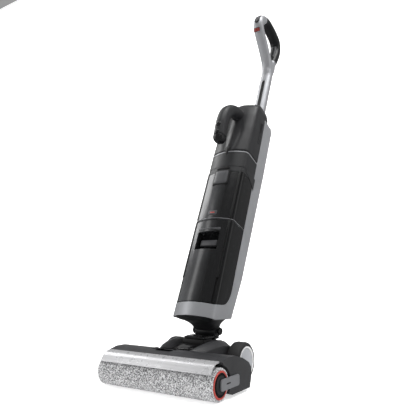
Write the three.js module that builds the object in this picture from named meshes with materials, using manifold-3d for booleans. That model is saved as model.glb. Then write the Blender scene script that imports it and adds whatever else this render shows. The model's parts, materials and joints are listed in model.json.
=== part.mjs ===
// Upright wet dry floor scrubber: a wide floor head with one driven roller, a neck that steers and reclines,
// a body with two water tanks and a lift-out hand vacuum, and a pole with a loop handle.
// Millimetres, +Z up, the roller across X and the handle leaning back towards +Y.
import * as THREE from 'three';
import { mergeVertices } from 'three/addons/utils/BufferGeometryUtils.js';
import Module from 'manifold-3d';

const wasm = await Module();
wasm.setup();

// ---------------------------------------------------------------- sizes that drive the part

const gap = 0.3; // air between two neighbouring pieces
const wall = 2.6; // moulded plastic wall

// floor head
const rollerLength = 264.5;
const rollerRadius = 29;
const napDepth = 8.2; // pile and backing of the roller cover
const coreWall = 3.9;
const headDepth = 112; // roller axis to the back of the low housing
const endBlockWidth = 16.6; // solid-looking block at each end of the head
const armThickness = 3.1; // plates outside the end blocks
const floorGap = 5.5; // underside of the head above the floor
const channelHalf = 28; // half width of the open channel in front of the neck

// wheels
const wheelRadius = 39;
const wheelWidth = 29;
const wheelOuter = 95.5; // outer wheel face from the middle of the head
const axleRadius = 6;
const wheelSetBack = 166; // wheel axle behind the roller axis

// neck
const pivotHeight = 96;
const pivotSetBack = 165;
const neckHalf = 31; // outside of the two fork arms
const forkArm = 6.7;
const drumRadius = 21;
const pinRadius = 4;

// body, measured in its own frame: u forwards, w up along the body
const bodyTilt = 23; // degrees of recline at rest
const bodyHalf = 51.5;
const bodyFront = 57;
const bodyBackLow = 52;
const bodyBackHigh = 64;
const backTaper = 14; // the back draws in by this much down to the band
const taperTop = 190; // height where it starts
const undersideFront = 33; // the underside rises behind this line
const undersideRise = 20; // degrees
const pivotU = -26;
const pivotW = 63.5;
const bandBottom = 70;
const bandHeight = 28.6;
const cleanTankHeight = 199.4;
const usedTankHeight = 144.6;
const unitBaseHeight = 42.4;
const unitHeight = 195;
const spineAboveStripe = 150;
const spineFront = -10; // front edge of the silver spine on the sides
const stripeHeight = 2.4;

// pole and handle
const poleHalfX = 17;
const poleHalfU = 12;
const poleU = -51.5;
const poleTop = 841;
const poleInset = 70; // length of pole held inside the spine
const handleReach = 102; // loop forwards of the pole
const handleHeight = 162; // loop above the pole
const handleBack = 19; // loop behind the pole
const gripHalfX = 15;
const gripHalfN = 12.5;

const squareness = 0.72; // exponent of the oval sections of pole, handle and grip
const ovalCuts = 16;

// hand vacuum grip
const pistolHalfX = 15.5;
const pistolHalfN = 17;

// ---------------------------------------------------------------- sizes that follow

const headHalf = rollerLength / 2 + 1.75;
const blockInner = headHalf - endBlockWidth;
const cavityRadius = rollerRadius + 3.5;
const coverTop = 2 * rollerRadius + 13;
const coverFront = 2 * rollerRadius + 8;
const chassisTop = 2 * rollerRadius + 2;
const wheelInner = wheelOuter - wheelWidth;
const bandTop = bandBottom + bandHeight;
const tankSeam = bandTop + cleanTankHeight;
const tankTop = tankSeam + usedTankHeight;
const stripeW = tankTop + unitBaseHeight;
const unitTop = stripeW + unitHeight;
const spineTop = stripeW + spineAboveStripe;
const coreRadius = rollerRadius - napDepth - gap;
const coreBore = coreRadius - coreWall;

// ---------------------------------------------------------------- solid helpers

// One welded, closed solid from a three.js geometry.
function solidOf(geometry) {
  const plain = geometry.index ? geometry.toNonIndexed() : geometry.clone();
  plain.deleteAttribute('normal');
  plain.deleteAttribute('uv');
  const welded = mergeVertices(plain, 1e-3);
  const source = welded.index.array;
  const kept = [];
  for (let i = 0; i < source.length; i += 3) {
    const [a, b, c] = [source[i], source[i + 1], source[i + 2]];
    if (a !== b && b !== c && a !== c) kept.push(a, b, c);
  }
  const mesh = new wasm.Mesh({
    numProp: 3,
    vertProperties: new Float32Array(welded.attributes.position.array),
    triVerts: new Uint32Array(kept),
  });
  return new wasm.Manifold(mesh);
}

function geometryOf(solid) {
  const mesh = solid.getMesh();
  const geometry = new THREE.BufferGeometry();
  const count = mesh.vertProperties.length / mesh.numProp;
  const positions = new Float32Array(count * 3);
  for (let i = 0; i < count; i += 1) {
    for (let k = 0; k < 3; k += 1) {
      positions[3 * i + k] = mesh.vertProperties[mesh.numProp * i + k];
    }
  }
  geometry.setAttribute('position', new THREE.BufferAttribute(positions, 3));
  geometry.setIndex(Array.from(mesh.triVerts));
  geometry.computeVertexNormals();
  return geometry;
}

// A solid swept through rings of points; every ring has the same number of points.
function loft(rings) {
  const count = rings[0].length;
  const points = rings.flat();
  const index = [];
  for (let r = 0; r + 1 < rings.length; r += 1) {
    for (let i = 0; i < count; i += 1) {
      const a = r * count + i;
      const b = r * count + ((i + 1) % count);
      index.push(a, b, b + count, a, b + count, a + count);
    }
  }
  for (const [start, flip] of [[0, true], [(rings.length - 1) * count, false]]) {
    for (const [a, b, c] of capTriangles(points.slice(start, start + count))) {
      if (flip) index.push(start + a, start + c, start + b);
      else index.push(start + a, start + b, start + c);
    }
  }
  if (signedVolume(points, index) < 0) index.reverse();
  const geometry = new THREE.BufferGeometry();
  geometry.setAttribute('position', new THREE.Float32BufferAttribute(points.flat(), 3));
  geometry.setIndex(index);
  return solidOf(geometry);
}

// Triangles that fill one flat ring, wound like the ring.
function capTriangles(ring) {
  const normal = new THREE.Vector3();
  for (let i = 0; i < ring.length; i += 1) {
    const [a, b] = [ring[i], ring[(i + 1) % ring.length]];
    normal.x += (a[1] - b[1]) * (a[2] + b[2]);
    normal.y += (a[2] - b[2]) * (a[0] + b[0]);
    normal.z += (a[0] - b[0]) * (a[1] + b[1]);
  }
  const size = [Math.abs(normal.x), Math.abs(normal.y), Math.abs(normal.z)];
  const drop = size.indexOf(Math.max(...size));
  const [p, q] = [[1, 2], [2, 0], [0, 1]][drop];
  const flat = ring.map((point) => new THREE.Vector2(point[p], point[q]));
  const turned = THREE.ShapeUtils.isClockWise(flat);
  const faces = THREE.ShapeUtils.triangulateShape(turned ? flat.slice().reverse() : flat, []);
  const last = ring.length - 1;
  return turned ? faces.map(([a, b, c]) => [last - c, last - b, last - a]) : faces;
}

function signedVolume(points, index) {
  let total = 0;
  for (let i = 0; i < index.length; i += 3) {
    const [a, b, c] = [points[index[i]], points[index[i + 1]], points[index[i + 2]]];
    total += a[0] * (b[1] * c[2] - b[2] * c[1]);
    total += a[1] * (b[2] * c[0] - b[0] * c[2]);
    total += a[2] * (b[0] * c[1] - b[1] * c[0]);
  }
  return total;
}

// A turned solid about an axis; the profile is [radius, distance along the axis].
function turned(profile, axis, at, segments = 32) {
  const closed = profile[0][0] === 0 ? profile : [...profile, profile[0]];
  const points = closed.map(([radius, along]) => new THREE.Vector2(radius, along));
  const geometry = new THREE.LatheGeometry(points, segments);
  if (axis === 'x') geometry.rotateZ(-Math.PI / 2);
  if (axis === 'z') geometry.rotateX(Math.PI / 2);
  geometry.translate(...at);
  const solid = solidOf(geometry);
  return solid.volume() < 0 ? flipped(geometry) : solid;
}

function flipped(geometry) {
  const plain = geometry.toNonIndexed();
  const position = plain.attributes.position;
  for (let i = 0; i < position.count; i += 3) {
    const [x, y, z] = [position.getX(i), position.getY(i), position.getZ(i)];
    position.setXYZ(i, position.getX(i + 1), position.getY(i + 1), position.getZ(i + 1));
    position.setXYZ(i + 1, x, y, z);
  }
  return solidOf(plain);
}

// Rod or tube along an axis between two distances.
function rod(axis, radius, from, to, at, segments = 32) {
  return turned([[0, from], [radius, from], [radius, to], [0, to]], axis, at, segments);
}

function tube(axis, outer, inner, from, to, at, segments = 32) {
  return turned([[inner, from], [outer, from], [outer, to], [inner, to]], axis, at, segments);
}

function box(low, high) {
  const size = high.map((value, i) => value - low[i]);
  const geometry = new THREE.BoxGeometry(...size);
  geometry.translate(...low.map((value, i) => value + size[i] / 2));
  return solidOf(geometry);
}

// A (y, z) outline pushed along X.
function across(shape, from, to, segments = 6) {
  const geometry = new THREE.ExtrudeGeometry(shape, {
    depth: to - from,
    bevelEnabled: false,
    curveSegments: segments,
  });
  const axes = new THREE.Matrix4().makeBasis(
    new THREE.Vector3(0, 1, 0),
    new THREE.Vector3(0, 0, 1),
    new THREE.Vector3(1, 0, 0),
  );
  geometry.applyMatrix4(axes);
  geometry.translate(from, 0, 0);
  return solidOf(geometry);
}

// An (x, y) outline pushed up Z.
function upwards(shape, from, to, segments = 6) {
  const geometry = new THREE.ExtrudeGeometry(shape, {
    depth: to - from,
    bevelEnabled: false,
    curveSegments: segments,
  });
  geometry.translate(0, 0, from);
  return solidOf(geometry);
}

function polygon(points) {
  return new THREE.Shape(points.map(([a, b]) => new THREE.Vector2(a, b)));
}

// Rounded rectangle between two corners.
function roundedPlate(low, high, radius) {
  const shape = new THREE.Shape();
  const [x0, y0] = low;
  const [x1, y1] = high;
  shape.moveTo(x0 + radius, y0);
  shape.lineTo(x1 - radius, y0);
  shape.absarc(x1 - radius, y0 + radius, radius, -Math.PI / 2, 0);
  shape.lineTo(x1, y1 - radius);
  shape.absarc(x1 - radius, y1 - radius, radius, 0, Math.PI / 2);
  shape.lineTo(x0 + radius, y1);
  shape.absarc(x0 + radius, y1 - radius, radius, Math.PI / 2, Math.PI);
  shape.lineTo(x0, y0 + radius);
  shape.absarc(x0 + radius, y0 + radius, radius, Math.PI, 1.5 * Math.PI);
  return shape;
}

function arcPoints(centre, radius, fromDeg, toDeg, steps) {
  const points = [];
  for (let i = 0; i <= steps; i += 1) {
    const angle = THREE.MathUtils.degToRad(fromDeg + ((toDeg - fromDeg) * i) / steps);
    points.push([centre[0] + radius * Math.cos(angle), centre[1] + radius * Math.sin(angle)]);
  }
  return points;
}

// Oval a little squarer than an ellipse.
function softOval(halfX, halfN, cuts) {
  const points = [];
  for (let i = 0; i < cuts; i += 1) {
    const angle = (2 * Math.PI * (i + 0.5)) / cuts;
    const [c, d] = [Math.cos(angle), Math.sin(angle)];
    points.push([halfX * Math.sign(c) * Math.abs(c) ** squareness, halfN * Math.sign(d) * Math.abs(d) ** squareness]);
  }
  return points;
}

// A tube-like solid through (u, w) points of the body plane; half sizes may change along it.
function limb(path, sizeAt, rings, cuts = ovalCuts) {
  const curve = new THREE.CatmullRomCurve3(path.map(([u, w]) => new THREE.Vector3(0, -u, w)), false, 'centripetal');
  const list = [];
  for (let r = 0; r <= rings; r += 1) {
    const s = r / rings;
    const centre = curve.getPointAt(s);
    const along = curve.getTangentAt(s);
    const outward = [-along.z, along.y];
    const [halfX, halfN] = sizeAt(s);
    const section = softOval(halfX, halfN, cuts);
    list.push(section.map(([x, n]) => [x, centre.y + n * outward[0], centre.z + n * outward[1]]));
  }
  return loft(list);
}

// The largest single body of a cut solid.
function largest(solid) {
  return solid.decompose().sort((a, b) => b.volume() - a.volume())[0];
}

// ---------------------------------------------------------------- node list

const assembly = new THREE.Group();
assembly.name = 'wet_dry_floor_scrubber';

const finishes = {
  dark: { color: 0x2a2b2d, roughness: 0.55, metalness: 0.0 },
  gloss: { color: 0x17181a, roughness: 0.18, metalness: 0.0 },
  silver: { color: 0xa9abae, roughness: 0.32, metalness: 0.75 },
  grey: { color: 0x85888c, roughness: 0.5, metalness: 0.0 },
  smoke: { color: 0x2f3134, roughness: 0.12, metalness: 0.0 },
  clear: { color: 0xd9dde0, roughness: 0.1, metalness: 0.0 },
  rubber: { color: 0x1c1c1d, roughness: 0.85, metalness: 0.0 },
  nap: { color: 0xc9cacc, roughness: 0.95, metalness: 0.0 },
  red: { color: 0xb5473f, roughness: 0.5, metalness: 0.0 },
  steel: { color: 0xb4b6b8, roughness: 0.3, metalness: 0.9 },
  green: { color: 0x2f5b43, roughness: 0.6, metalness: 0.0 },
};

function add(name, solid, finish) {
  const look = finishes[finish];
  const material = new THREE.MeshStandardMaterial(look);
  const mesh = new THREE.Mesh(geometryOf(solid), material);
  mesh.name = name;
  assembly.add(mesh);
}

const tilt = new THREE.Matrix4()
  .makeTranslation(0, pivotSetBack, pivotHeight)
  .multiply(new THREE.Matrix4().makeRotationX(-THREE.MathUtils.degToRad(bodyTilt)))
  .multiply(new THREE.Matrix4().makeTranslation(0, pivotU, -pivotW));

// A piece drawn upright in the body frame (x, -u, w) and leaned back with the body.
function addToBody(name, solid, finish) {
  const geometry = geometryOf(solid);
  geometry.applyMatrix4(tilt);
  add(name, solidOf(geometry), finish);
}

// ---------------------------------------------------------------- floor head

const axleAt = [0, wheelSetBack, wheelRadius];
const rollerAt = [0, 0, rollerRadius];

// Low housing outline behind the roller, drawn inwards from the outside by `inset`.
function housingOutline(inset, top, arcFrom, arcTo, frontY) {
  const arc = arcPoints([0, rollerRadius], cavityRadius + inset, arcFrom, arcTo, 8);
  const back = headDepth - inset;
  return polygon([
    ...arc,
    [frontY + inset * 0.4, top - 5 - inset],
    [0.22 * headDepth, top - inset],
    [0.44 * headDepth, top - inset],
    [0.7 * headDepth, top - 8 - inset],
    [back - 10, top - 19 - inset],
    [back, top - 30 - inset],
    [back, 27],
    [back - 7, floorGap + inset],
    [0.34 * headDepth, floorGap + inset],
  ]);
}

function channelCut(extra) {
  const half = channelHalf + extra;
  const shape = new THREE.Shape();
  const front = 0.72 * headDepth;
  shape.moveTo(half, headDepth + 40);
  shape.lineTo(half, front);
  shape.absarc(0, front, half, 0, -Math.PI, true);
  shape.lineTo(-half, headDepth + 40);
  return shape;
}

// Suction duct from the mouth behind the roller to the foot of the neck.
function ductRings(grow) {
  const stations = [
    [rollerRadius + 3.5 - (grow < 0 ? 1 : 0), 58, 15, 27],
    [0.62 * headDepth, 34, 14, 32],
    [0.95 * headDepth, 21, 20, 42],
    [1.16 * headDepth + (grow < 0 ? 1 : 0), 19, 26, 48],
  ];
  return stations.map(([y, halfX, low, high]) => {
    const [x, z0, z1] = [halfX + grow, low - grow, high + grow];
    const chamfer = 4;
    return [
      [-x + chamfer, y, z0], [x - chamfer, y, z0], [x, y, z0 + chamfer], [x, y, z1 - chamfer],
      [x - chamfer, y, z1], [-x + chamfer, y, z1], [-x, y, z1 - chamfer], [-x, y, z0 + chamfer],
    ];
  });
}

function buildHeadShell() {
  const half = blockInner - gap;
  const duct = loft(ductRings(gap));
  const skinWall = 3;
  const front = 0.7 * headDepth - 2;
  const skin = across(housingOutline(0, coverTop, -36, 76, 4), -half, half);
  const under = across(housingOutline(skinWall, coverTop, -36, 76, 4), -half - 1, half + 1);
  const lowFront = box([-300, -60, 0], [300, front, chassisTop + gap]);
  const lowBack = box([-300, -60, 0], [300, 300, coverTop - 30]);
  const channel = upwards(channelCut(0), 0, 200);
  const cover = skin.subtract(under).subtract(lowFront).subtract(lowBack).subtract(channel);
  add('head_top_cover', largest(cover), 'dark');

  const outer = across(housingOutline(skinWall + gap, coverTop, -22, 58, 20), -half, half);
  const trimmed = outer.intersect(box([-300, -50, 0], [300, headDepth + 1, chassisTop]));
  const inside = across(housingOutline(2 * skinWall + gap, coverTop + 12, -22, 58, 20), -half + 3, half - 3);
  const rearCut = upwards(channelCut(0), chassisTop - 22, chassisTop + 10);
  add('head_chassis', trimmed.subtract(inside).subtract(duct).subtract(rearCut), 'dark');

  const ductOuter = loft(ductRings(0));
  const ductInner = loft(ductRings(-2));
  add('suction_mouth', ductOuter.subtract(ductInner), 'dark');
}

function buildEndBlocks() {
  for (const side of [1, -1]) {
    const [near, far] = [blockInner, headHalf];
    const outline = housingOutline(0, coverTop, -36, 76, 4);
    const hollow = housingOutline(3, coverTop, -30, 66, 10);
    const span = side > 0 ? [near, far] : [-far, -near];
    const inner = side > 0 ? [near - 1, far - 3] : [-far + 3, -near + 1];
    const block = across(outline, ...span).subtract(across(hollow, ...inner));
    add(side > 0 ? 'end_block_right' : 'end_block_left', block, 'dark');
  }
}

// Shoulder that carries the wheel axle on one side of the neck.
function shoulderRings(inset, bottom, side) {
  const outer = wheelInner - 2.5;
  const stations = [
    [0.37, 0.30, 63, 70.5], [0.6, 0.72, 67, 77], [0.85, 0.93, 71, 82], [1.1, 1, 74.5, 84],
    [1.32, 1, 75.5, 81], [1.5, 1, 66, 70], [1.72, 1, 47, 51],
  ];
  const rise = coverTop - 71;
  return stations.map(([depth, width, inner, crest], i) => {
    const shift = i === 0 ? inset : i === stations.length - 1 ? -inset : 0;
    const y = depth * headDepth + shift;
    const x0 = channelHalf + 0.6 + inset;
    const x1 = x0 + (outer - channelHalf - 0.6 - 2 * inset) * width;
    const at = (t) => side * (x0 + (x1 - x0) * t);
    const top = crest + rise - inset;
    return [
      [at(0), y, bottom], [at(0), y, inner + rise - inset], [at(0.2), y, (inner + crest) / 2 + 2 + rise - inset],
      [at(0.45), y, top], [at(0.75), y, top - 2.5], [at(1), y, top - 11], [at(1), y, bottom],
    ];
  });
}

function buildShoulders() {
  for (const side of [1, -1]) {
    const outer = loft(shoulderRings(0, 22, side));
    const inner = loft(shoulderRings(wall, 10, side));
    const skin = across(housingOutline(-gap, coverTop, -36, 76, 4), -300, 300);
    const bore = rod('x', axleRadius + gap, -100, 100, axleAt);
    const piece = outer.subtract(inner).subtract(skin).subtract(bore);
    add(side > 0 ? 'axle_housing_right' : 'axle_housing_left', largest(piece), 'dark');
  }
}

// Block between the shoulders with the upright bore that the neck turns in.
function buildNeckSocket() {
  const half = channelHalf + 0.3;
  const shape = roundedPlate([-half, wheelSetBack - 29], [half, wheelSetBack + 28], 6);
  const body = upwards(shape, 40, 72);
  const bore = rod('z', drumRadius + gap, 30, 80, [0, pivotSetBack, 0], 24);
  const duct = loft(ductRings(gap));
  const axle = rod('x', axleRadius + gap, -100, 100, axleAt);
  add('neck_socket', body.subtract(bore).subtract(duct).subtract(axle), 'dark');
}

function buildAxle() {
  const reach = wheelOuter - 6;
  add('wheel_axle', rod('x', axleRadius, -reach, reach, axleAt, 24), 'steel');
}

function buildWheels() {
  for (const side of [1, -1]) {
    const name = side > 0 ? 'right' : 'left';
    const place = (profile) => profile.map(([radius, along]) => [radius, side * (wheelInner + along)]);
    const rim = wheelRadius - 8;
    const tyre = [
      [rim, 0], [rim + 4, 0], [wheelRadius - 0.8, 3], [wheelRadius, 7], [wheelRadius, wheelWidth - 7],
      [wheelRadius - 0.8, wheelWidth - 3], [rim + 3.5, wheelWidth], [rim, wheelWidth],
    ];
    const bore = axleRadius + gap;
    const hub = [
      [0, wheelWidth - 5], [bore, wheelWidth - 5], [bore, 0], [12, 0], [12, 8], [rim - gap, 8],
      [rim - gap, wheelWidth - 5.4], [rim - 4, wheelWidth - 5.4], [rim - 4.4, wheelWidth - 1.5],
      [10, wheelWidth - 0.2], [0, wheelWidth - 0.2],
    ];
    const trim = [
      [rim - 3.6, wheelWidth - 5.1], [rim - gap, wheelWidth - 5.1], [rim - gap, wheelWidth], [rim - 3.6, wheelWidth - 0.6],
    ];
    add(`tyre_${name}`, turned(place(tyre), 'x', axleAt, 40), 'rubber');
    add(`wheel_hub_${name}`, turned(place(hub), 'x', axleAt, 32), 'grey');
    add(`wheel_trim_${name}`, turned(place(trim), 'x', axleAt, 40), 'clear');
  }
}

// Roller: pile sleeve, core tube with a drive web, and the coloured ring that marks its pull-off end.
function buildRoller() {
  const half = rollerLength / 2;
  const nap = rollerRadius - napDepth;
  const sleeve = [
    [nap, -half], [rollerRadius - 1.4, -half], [rollerRadius, -half + 1.6],
    [rollerRadius, half - 1.6], [rollerRadius - 1.4, half], [nap, half],
  ];
  add('roller_sleeve', turned(sleeve, 'x', rollerAt, 56), 'nap');
  const end = half - 1;
  const web = [-0.08 * rollerLength, -0.035 * rollerLength];
  const core = [
    [coreBore, -end], [coreRadius, -end], [coreRadius, end], [coreBore, end],
    [coreBore, web[1]], [8.3, web[1]], [8.3, web[0]], [coreBore, web[0]],
  ];
  add('roller_core', turned(core, 'x', rollerAt, 40), 'dark');
  add('roller_end_ring', tube('x', rollerRadius - 4.8, coreBore + 0.3, half + 0.2, half + 1.5, rollerAt, 40), 'red');
}

function buildRollerDrive() {
  const web = -0.08 * rollerLength;
  const motorEnd = web - 8;
  const motor = [
    [0, -headHalf], [coreBore - 2, -headHalf], [coreBore - 2, motorEnd - 6], [8, motorEnd - 6], [8, motorEnd], [0, motorEnd],
  ];
  add('roller_motor', turned(motor, 'x', rollerAt, 28), 'steel');
  const disc = rod('x', coreBore - 3.4, motorEnd + gap, web - 1.5, rollerAt, 24);
  const key = rod('x', 7.6, web - 2, -0.035 * rollerLength - 1, rollerAt, 6);
  add('drive_coupler', disc.add(key), 'dark');
  const shape = new THREE.Shape();
  const reach = 0.5 * headDepth;
  shape.absarc(0, rollerRadius, coreBore - 2, Math.PI / 2, 1.5 * Math.PI);
  shape.lineTo(reach, rollerRadius - coreBore + 2);
  shape.absarc(reach, rollerRadius, coreBore - 2, -Math.PI / 2, Math.PI / 2);
  add('drive_arm', across(shape, -headHalf - gap - armThickness, -headHalf - gap), 'dark');
}

// Grey tab and bearing hub that hold the free end of the roller and draw it out sideways.
function buildCarrier() {
  const outer = headHalf + gap + armThickness;
  const plate = roundedPlate([-4, rollerRadius - 10.2], [0.53 * headDepth, rollerRadius + 9.8], 6.5);
  add('roller_latch_tab', across(plate, headHalf + gap, outer), 'grey');
  const hub = [
    [0, headHalf - 34], [coreBore - 3, headHalf - 34], [coreBore - 0.4, headHalf - 30], [coreBore - 0.4, headHalf], [0, headHalf],
  ];
  add('roller_bearing_hub', turned(hub, 'x', rollerAt, 28), 'dark');
}

function buildShield() {
  const r = rollerRadius;
  const shape = polygon([
    [3.7, 2 * r + 9], [-8, 2 * r + 8], [-18, 2 * r + 1], [-r + 3.8, 1.66 * r + 0.4], [-r + 5, 1.66 * r - 0.4],
    [-16.6, 2 * r - 0.9], [-7.4, 2 * r + 5.6], [3.7, 2 * r + 6.6],
  ]);
  add('roller_shield', across(shape, -rollerLength / 2 + 4, rollerLength / 2 - 4), 'clear');
}

function buildWipers() {
  const half = blockInner - 4;
  const reach = rollerRadius + 0.8;
  const bar = [reach * Math.cos(0.5), rollerRadius + reach * Math.sin(0.5)];
  const scraper = polygon([
    [bar[0] + 0.7, bar[1] - 1.6], [bar[0] + 2.6, bar[1] - 1.4], [bar[0] + 2.2, bar[1] + 1.6], [bar[0] + 0.1, bar[1] + 1.3],
  ]);
  add('scraper_bar', across(scraper, -half, half), 'grey');
  const front = 0.39 * headDepth;
  add('squeegee', box([-half, front, 0.8], [half, front + 2.6, floorGap - gap]), 'rubber');
}

// ---------------------------------------------------------------- neck

const pinAt = [0, pivotSetBack, pivotHeight];

function buildNeck() {
  const bore = drumRadius - 8.5;
  const profile = [
    [bore, 46], [drumRadius, 46], [drumRadius, 75], [14.2, 84], [14.2, 88], [bore - 1.5, 88], [bore - 1.5, 76], [bore, 72],
  ];
  const drum = turned(profile, 'z', [0, pivotSetBack, 0], 24);
  const ear = neckHalf - forkArm - gap;
  let solid = drum;
  const hood = upwards(roundedPlate([-channelHalf + 1, wheelSetBack - 53], [channelHalf - 1, pivotSetBack - 11.5], 5), 84.6, 88);
  solid = solid.add(hood);
  for (const side of [1, -1]) {
    const [x0, x1] = side > 0 ? [ear - 9, ear] : [-ear, -ear + 9];
    const foot = box([x0, pivotSetBack - 8.5, 80], [x1, pivotSetBack + 8.5, pivotHeight]);
    solid = solid.add(foot).add(rod('x', 9.5, x0, x1, pinAt, 20));
  }
  const hole = rod('z', bore - 1.5, 40, 100, [0, pivotSetBack, 0], 24);
  const pinHole = rod('x', pinRadius + gap, -60, 60, pinAt, 20);
  const axleSlot = box([-60, wheelSetBack - 9, 0], [60, wheelSetBack + 9, wheelRadius + axleRadius + 1]);
  add('swivel_neck', solid.subtract(hole).subtract(pinHole).subtract(axleSlot), 'dark');
  const head = neckHalf + gap;
  const pin = [
    [0, -head - 3], [7, -head - 3], [8, -head - 1.8], [8, -head], [pinRadius, -head],
    [pinRadius, head], [8, head], [8, head + 1.8], [7, head + 3], [0, head + 3],
  ];
  add('recline_pin', turned(pin, 'x', pinAt, 28), 'dark');
}

// Flexible hose inside the drum; its top stays inside the pivot's own clearance.
function buildNeckHose() {
  const outer = drumRadius - 10.8;
  const low = wheelRadius + axleRadius + 4;
  const high = pivotHeight - 12;
  const folds = 5;
  const pitch = (high - low) / folds;
  const profile = [[outer - 1.8, low]];
  for (let fold = 0; fold < folds; fold++) {
    const z = low + fold * pitch;
    profile.push([outer - 1, z], [outer, z + pitch / 2]);
  }
  profile.push([outer - 1, high], [outer - 1.8, high]);
  add('neck_hose', turned(profile, 'z', [0, pivotSetBack, 0], 20), 'rubber');
}

// ---------------------------------------------------------------- body

// Body outline in (x, -u): bowed front, tight front corners, straight sides, rounded back.
function bodyOutline(inset, back) {
  const half = bodyHalf - inset;
  const front = bodyFront - inset;
  const panel = half - 8.5;
  const drop = 10;
  const corner = Math.max(16 - inset, 2);
  const shape = new THREE.Shape();
  shape.moveTo(-panel, -(front - drop));
  shape.quadraticCurveTo(0, -(front + drop), panel, -(front - drop));
  shape.quadraticCurveTo(half, -(front - drop - 4), half, -(front - drop - 14));
  shape.lineTo(half, back - inset - corner);
  shape.absarc(half - corner, back - inset - corner, corner, 0, Math.PI / 2);
  shape.lineTo(-half + corner, back - inset);
  shape.absarc(-half + corner, back - inset - corner, corner, Math.PI / 2, Math.PI);
  shape.lineTo(-half, -(front - drop - 14));
  shape.quadraticCurveTo(-half, -(front - drop - 4), -panel, -(front - drop));
  return shape;
}

function bodyRing(inset, back, w, segments = 5) {
  const points = bodyOutline(inset, back).extractPoints(segments).shape;
  const open = points[0].distanceTo(points[points.length - 1]) < 1e-6 ? points.slice(0, -1) : points;
  return open.map((point) => [point.x, point.y, w]);
}

// Body prism in front of a given u.
function frontPrism(inset, low, high, backU) {
  const whole = upwards(bodyOutline(inset, bodyBackLow), low, high, 5);
  return whole.intersect(box([-200, -200, low - 1], [200, -backU, high + 1]));
}

// Space in front of the spine and above the band, with the sweep where the two meet.
function frameOpening(inset) {
  const [back, low] = [-spineFront - inset, bandTop + inset];
  const opening = new THREE.Shape();
  opening.moveTo(back, spineTop + 20);
  opening.lineTo(back, low + 52);
  opening.quadraticCurveTo(back, low + 16, -18, low + 8.5);
  opening.lineTo(-44, low);
  opening.lineTo(-bodyFront - 30, low);
  opening.lineTo(-bodyFront - 30, spineTop + 20);
  return across(opening, -200, 200);
}

// How far the sloping underside stands above its front edge.
function undersideAt(y) {
  return Math.tan(THREE.MathUtils.degToRad(undersideRise)) * Math.max(0, y + undersideFront);
}

// The hollow of the spine, drawn in by inset.
function spineRoom(inset, low, high) {
  const backAt = (w) => bodyBackLow - 1 - (backTaper * Math.max(0, taperTop - w)) / (taperTop - bandBottom);
  const levels = high > taperTop ? [low, taperTop, high] : [low, high];
  return loft(levels.map((w) => bodyRing(3 + inset, backAt(w), w)));
}

function buildFrame() {
  const outer = loft([
    bodyRing(0, bodyBackLow - backTaper, bandBottom),
    bodyRing(0, bodyBackLow + 3, taperTop),
    bodyRing(0, bodyBackHigh, stripeW),
    bodyRing(0, bodyBackHigh, spineTop - 16),
    bodyRing(1.5, bodyBackHigh - 1.5, spineTop - 6),
    bodyRing(6, bodyBackHigh - 3, spineTop),
  ]);
  const inner = spineRoom(0, bandBottom - 5, spineTop - 18);
  const front = frameOpening(0);
  const socket = poleSolid(gap, spineTop - poleInset, spineTop + 30);
  const reach = 90;
  const below = polygon([
    [-undersideFront, 0], [reach, 0], [reach, bandBottom + undersideAt(reach)], [-undersideFront, bandBottom],
  ]);
  const underside = across(below, -200, 200);
  const frame = outer.subtract(inner).subtract(front).subtract(socket).subtract(underside);
  addToBody('body_frame', frame, 'silver');
}

function poleSolid(grow, low, high) {
  const section = softOval(poleHalfX + grow, poleHalfU + grow, ovalCuts);
  return upwards(polygon(section.map(([x, n]) => [x, -poleU + n])), low, high);
}

// Dark funnel between the band and the fork arms that hang on the neck pin.
function buildFunnel() {
  const steps = [
    [bandBottom + 9, 3.4, 0, 1], [bandBottom - 0.4, 3.4, 0, 1], [bandBottom - 1, 4.2, 0, 1],
    [bandBottom - 7, 9, 12, 0.8], [bandBottom - 12, 17, 31, 0.4], [bandBottom - 15.5, bodyHalf - neckHalf, 44, 0],
  ];
  const rings = steps.map(([w, inset, retreat, slope]) => {
    return bodyRing(inset, bodyBackLow - 1 - backTaper, w, 3).map(([x, y, z]) => {
      return [x, y < 0 ? y + (retreat * -y) / bodyFront : y, z + slope * undersideAt(y)];
    });
  });
  const cone = loft(rings);
  const pin = [0, -pivotU, pivotW];
  let solid = cone;
  for (const side of [1, -1]) {
    const [x0, x1] = side > 0 ? [neckHalf - forkArm, neckHalf] : [-neckHalf, -neckHalf + forkArm];
    solid = solid.add(rod('x', 10.5, x0, x1, pin, 20));
    solid = solid.add(box([x0, -pivotU - 10, pivotW], [x1, -pivotU + 10, bandBottom]));
  }
  const throat = neckHalf - forkArm;
  const clearance = rod('x', 15, -throat, throat, pin, 20);
  const under = box([-throat, -pivotU - 15, 0], [throat, -pivotU + 60, pivotW]);
  const behind = box([-throat, -pivotU + 8, 0], [throat, -pivotU + 60, bandBottom - 0.4]);
  const duct = rod('z', 15.2, 0, 200, [0, -pivotU, 0], 20);
  const hole = rod('x', pinRadius + gap, -60, 60, pin, 20);
  solid = solid.subtract(clearance).subtract(under).subtract(behind).subtract(duct).subtract(hole);
  for (const side of [1, -1]) {
    const span = side > 0 ? [neckHalf, bodyHalf + 9] : [-bodyHalf - 9, -neckHalf];
    solid = solid.subtract(rod('x', 8.6, ...span, pin, 24));
  }
  addToBody('neck_funnel', solid, 'dark');
}

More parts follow.
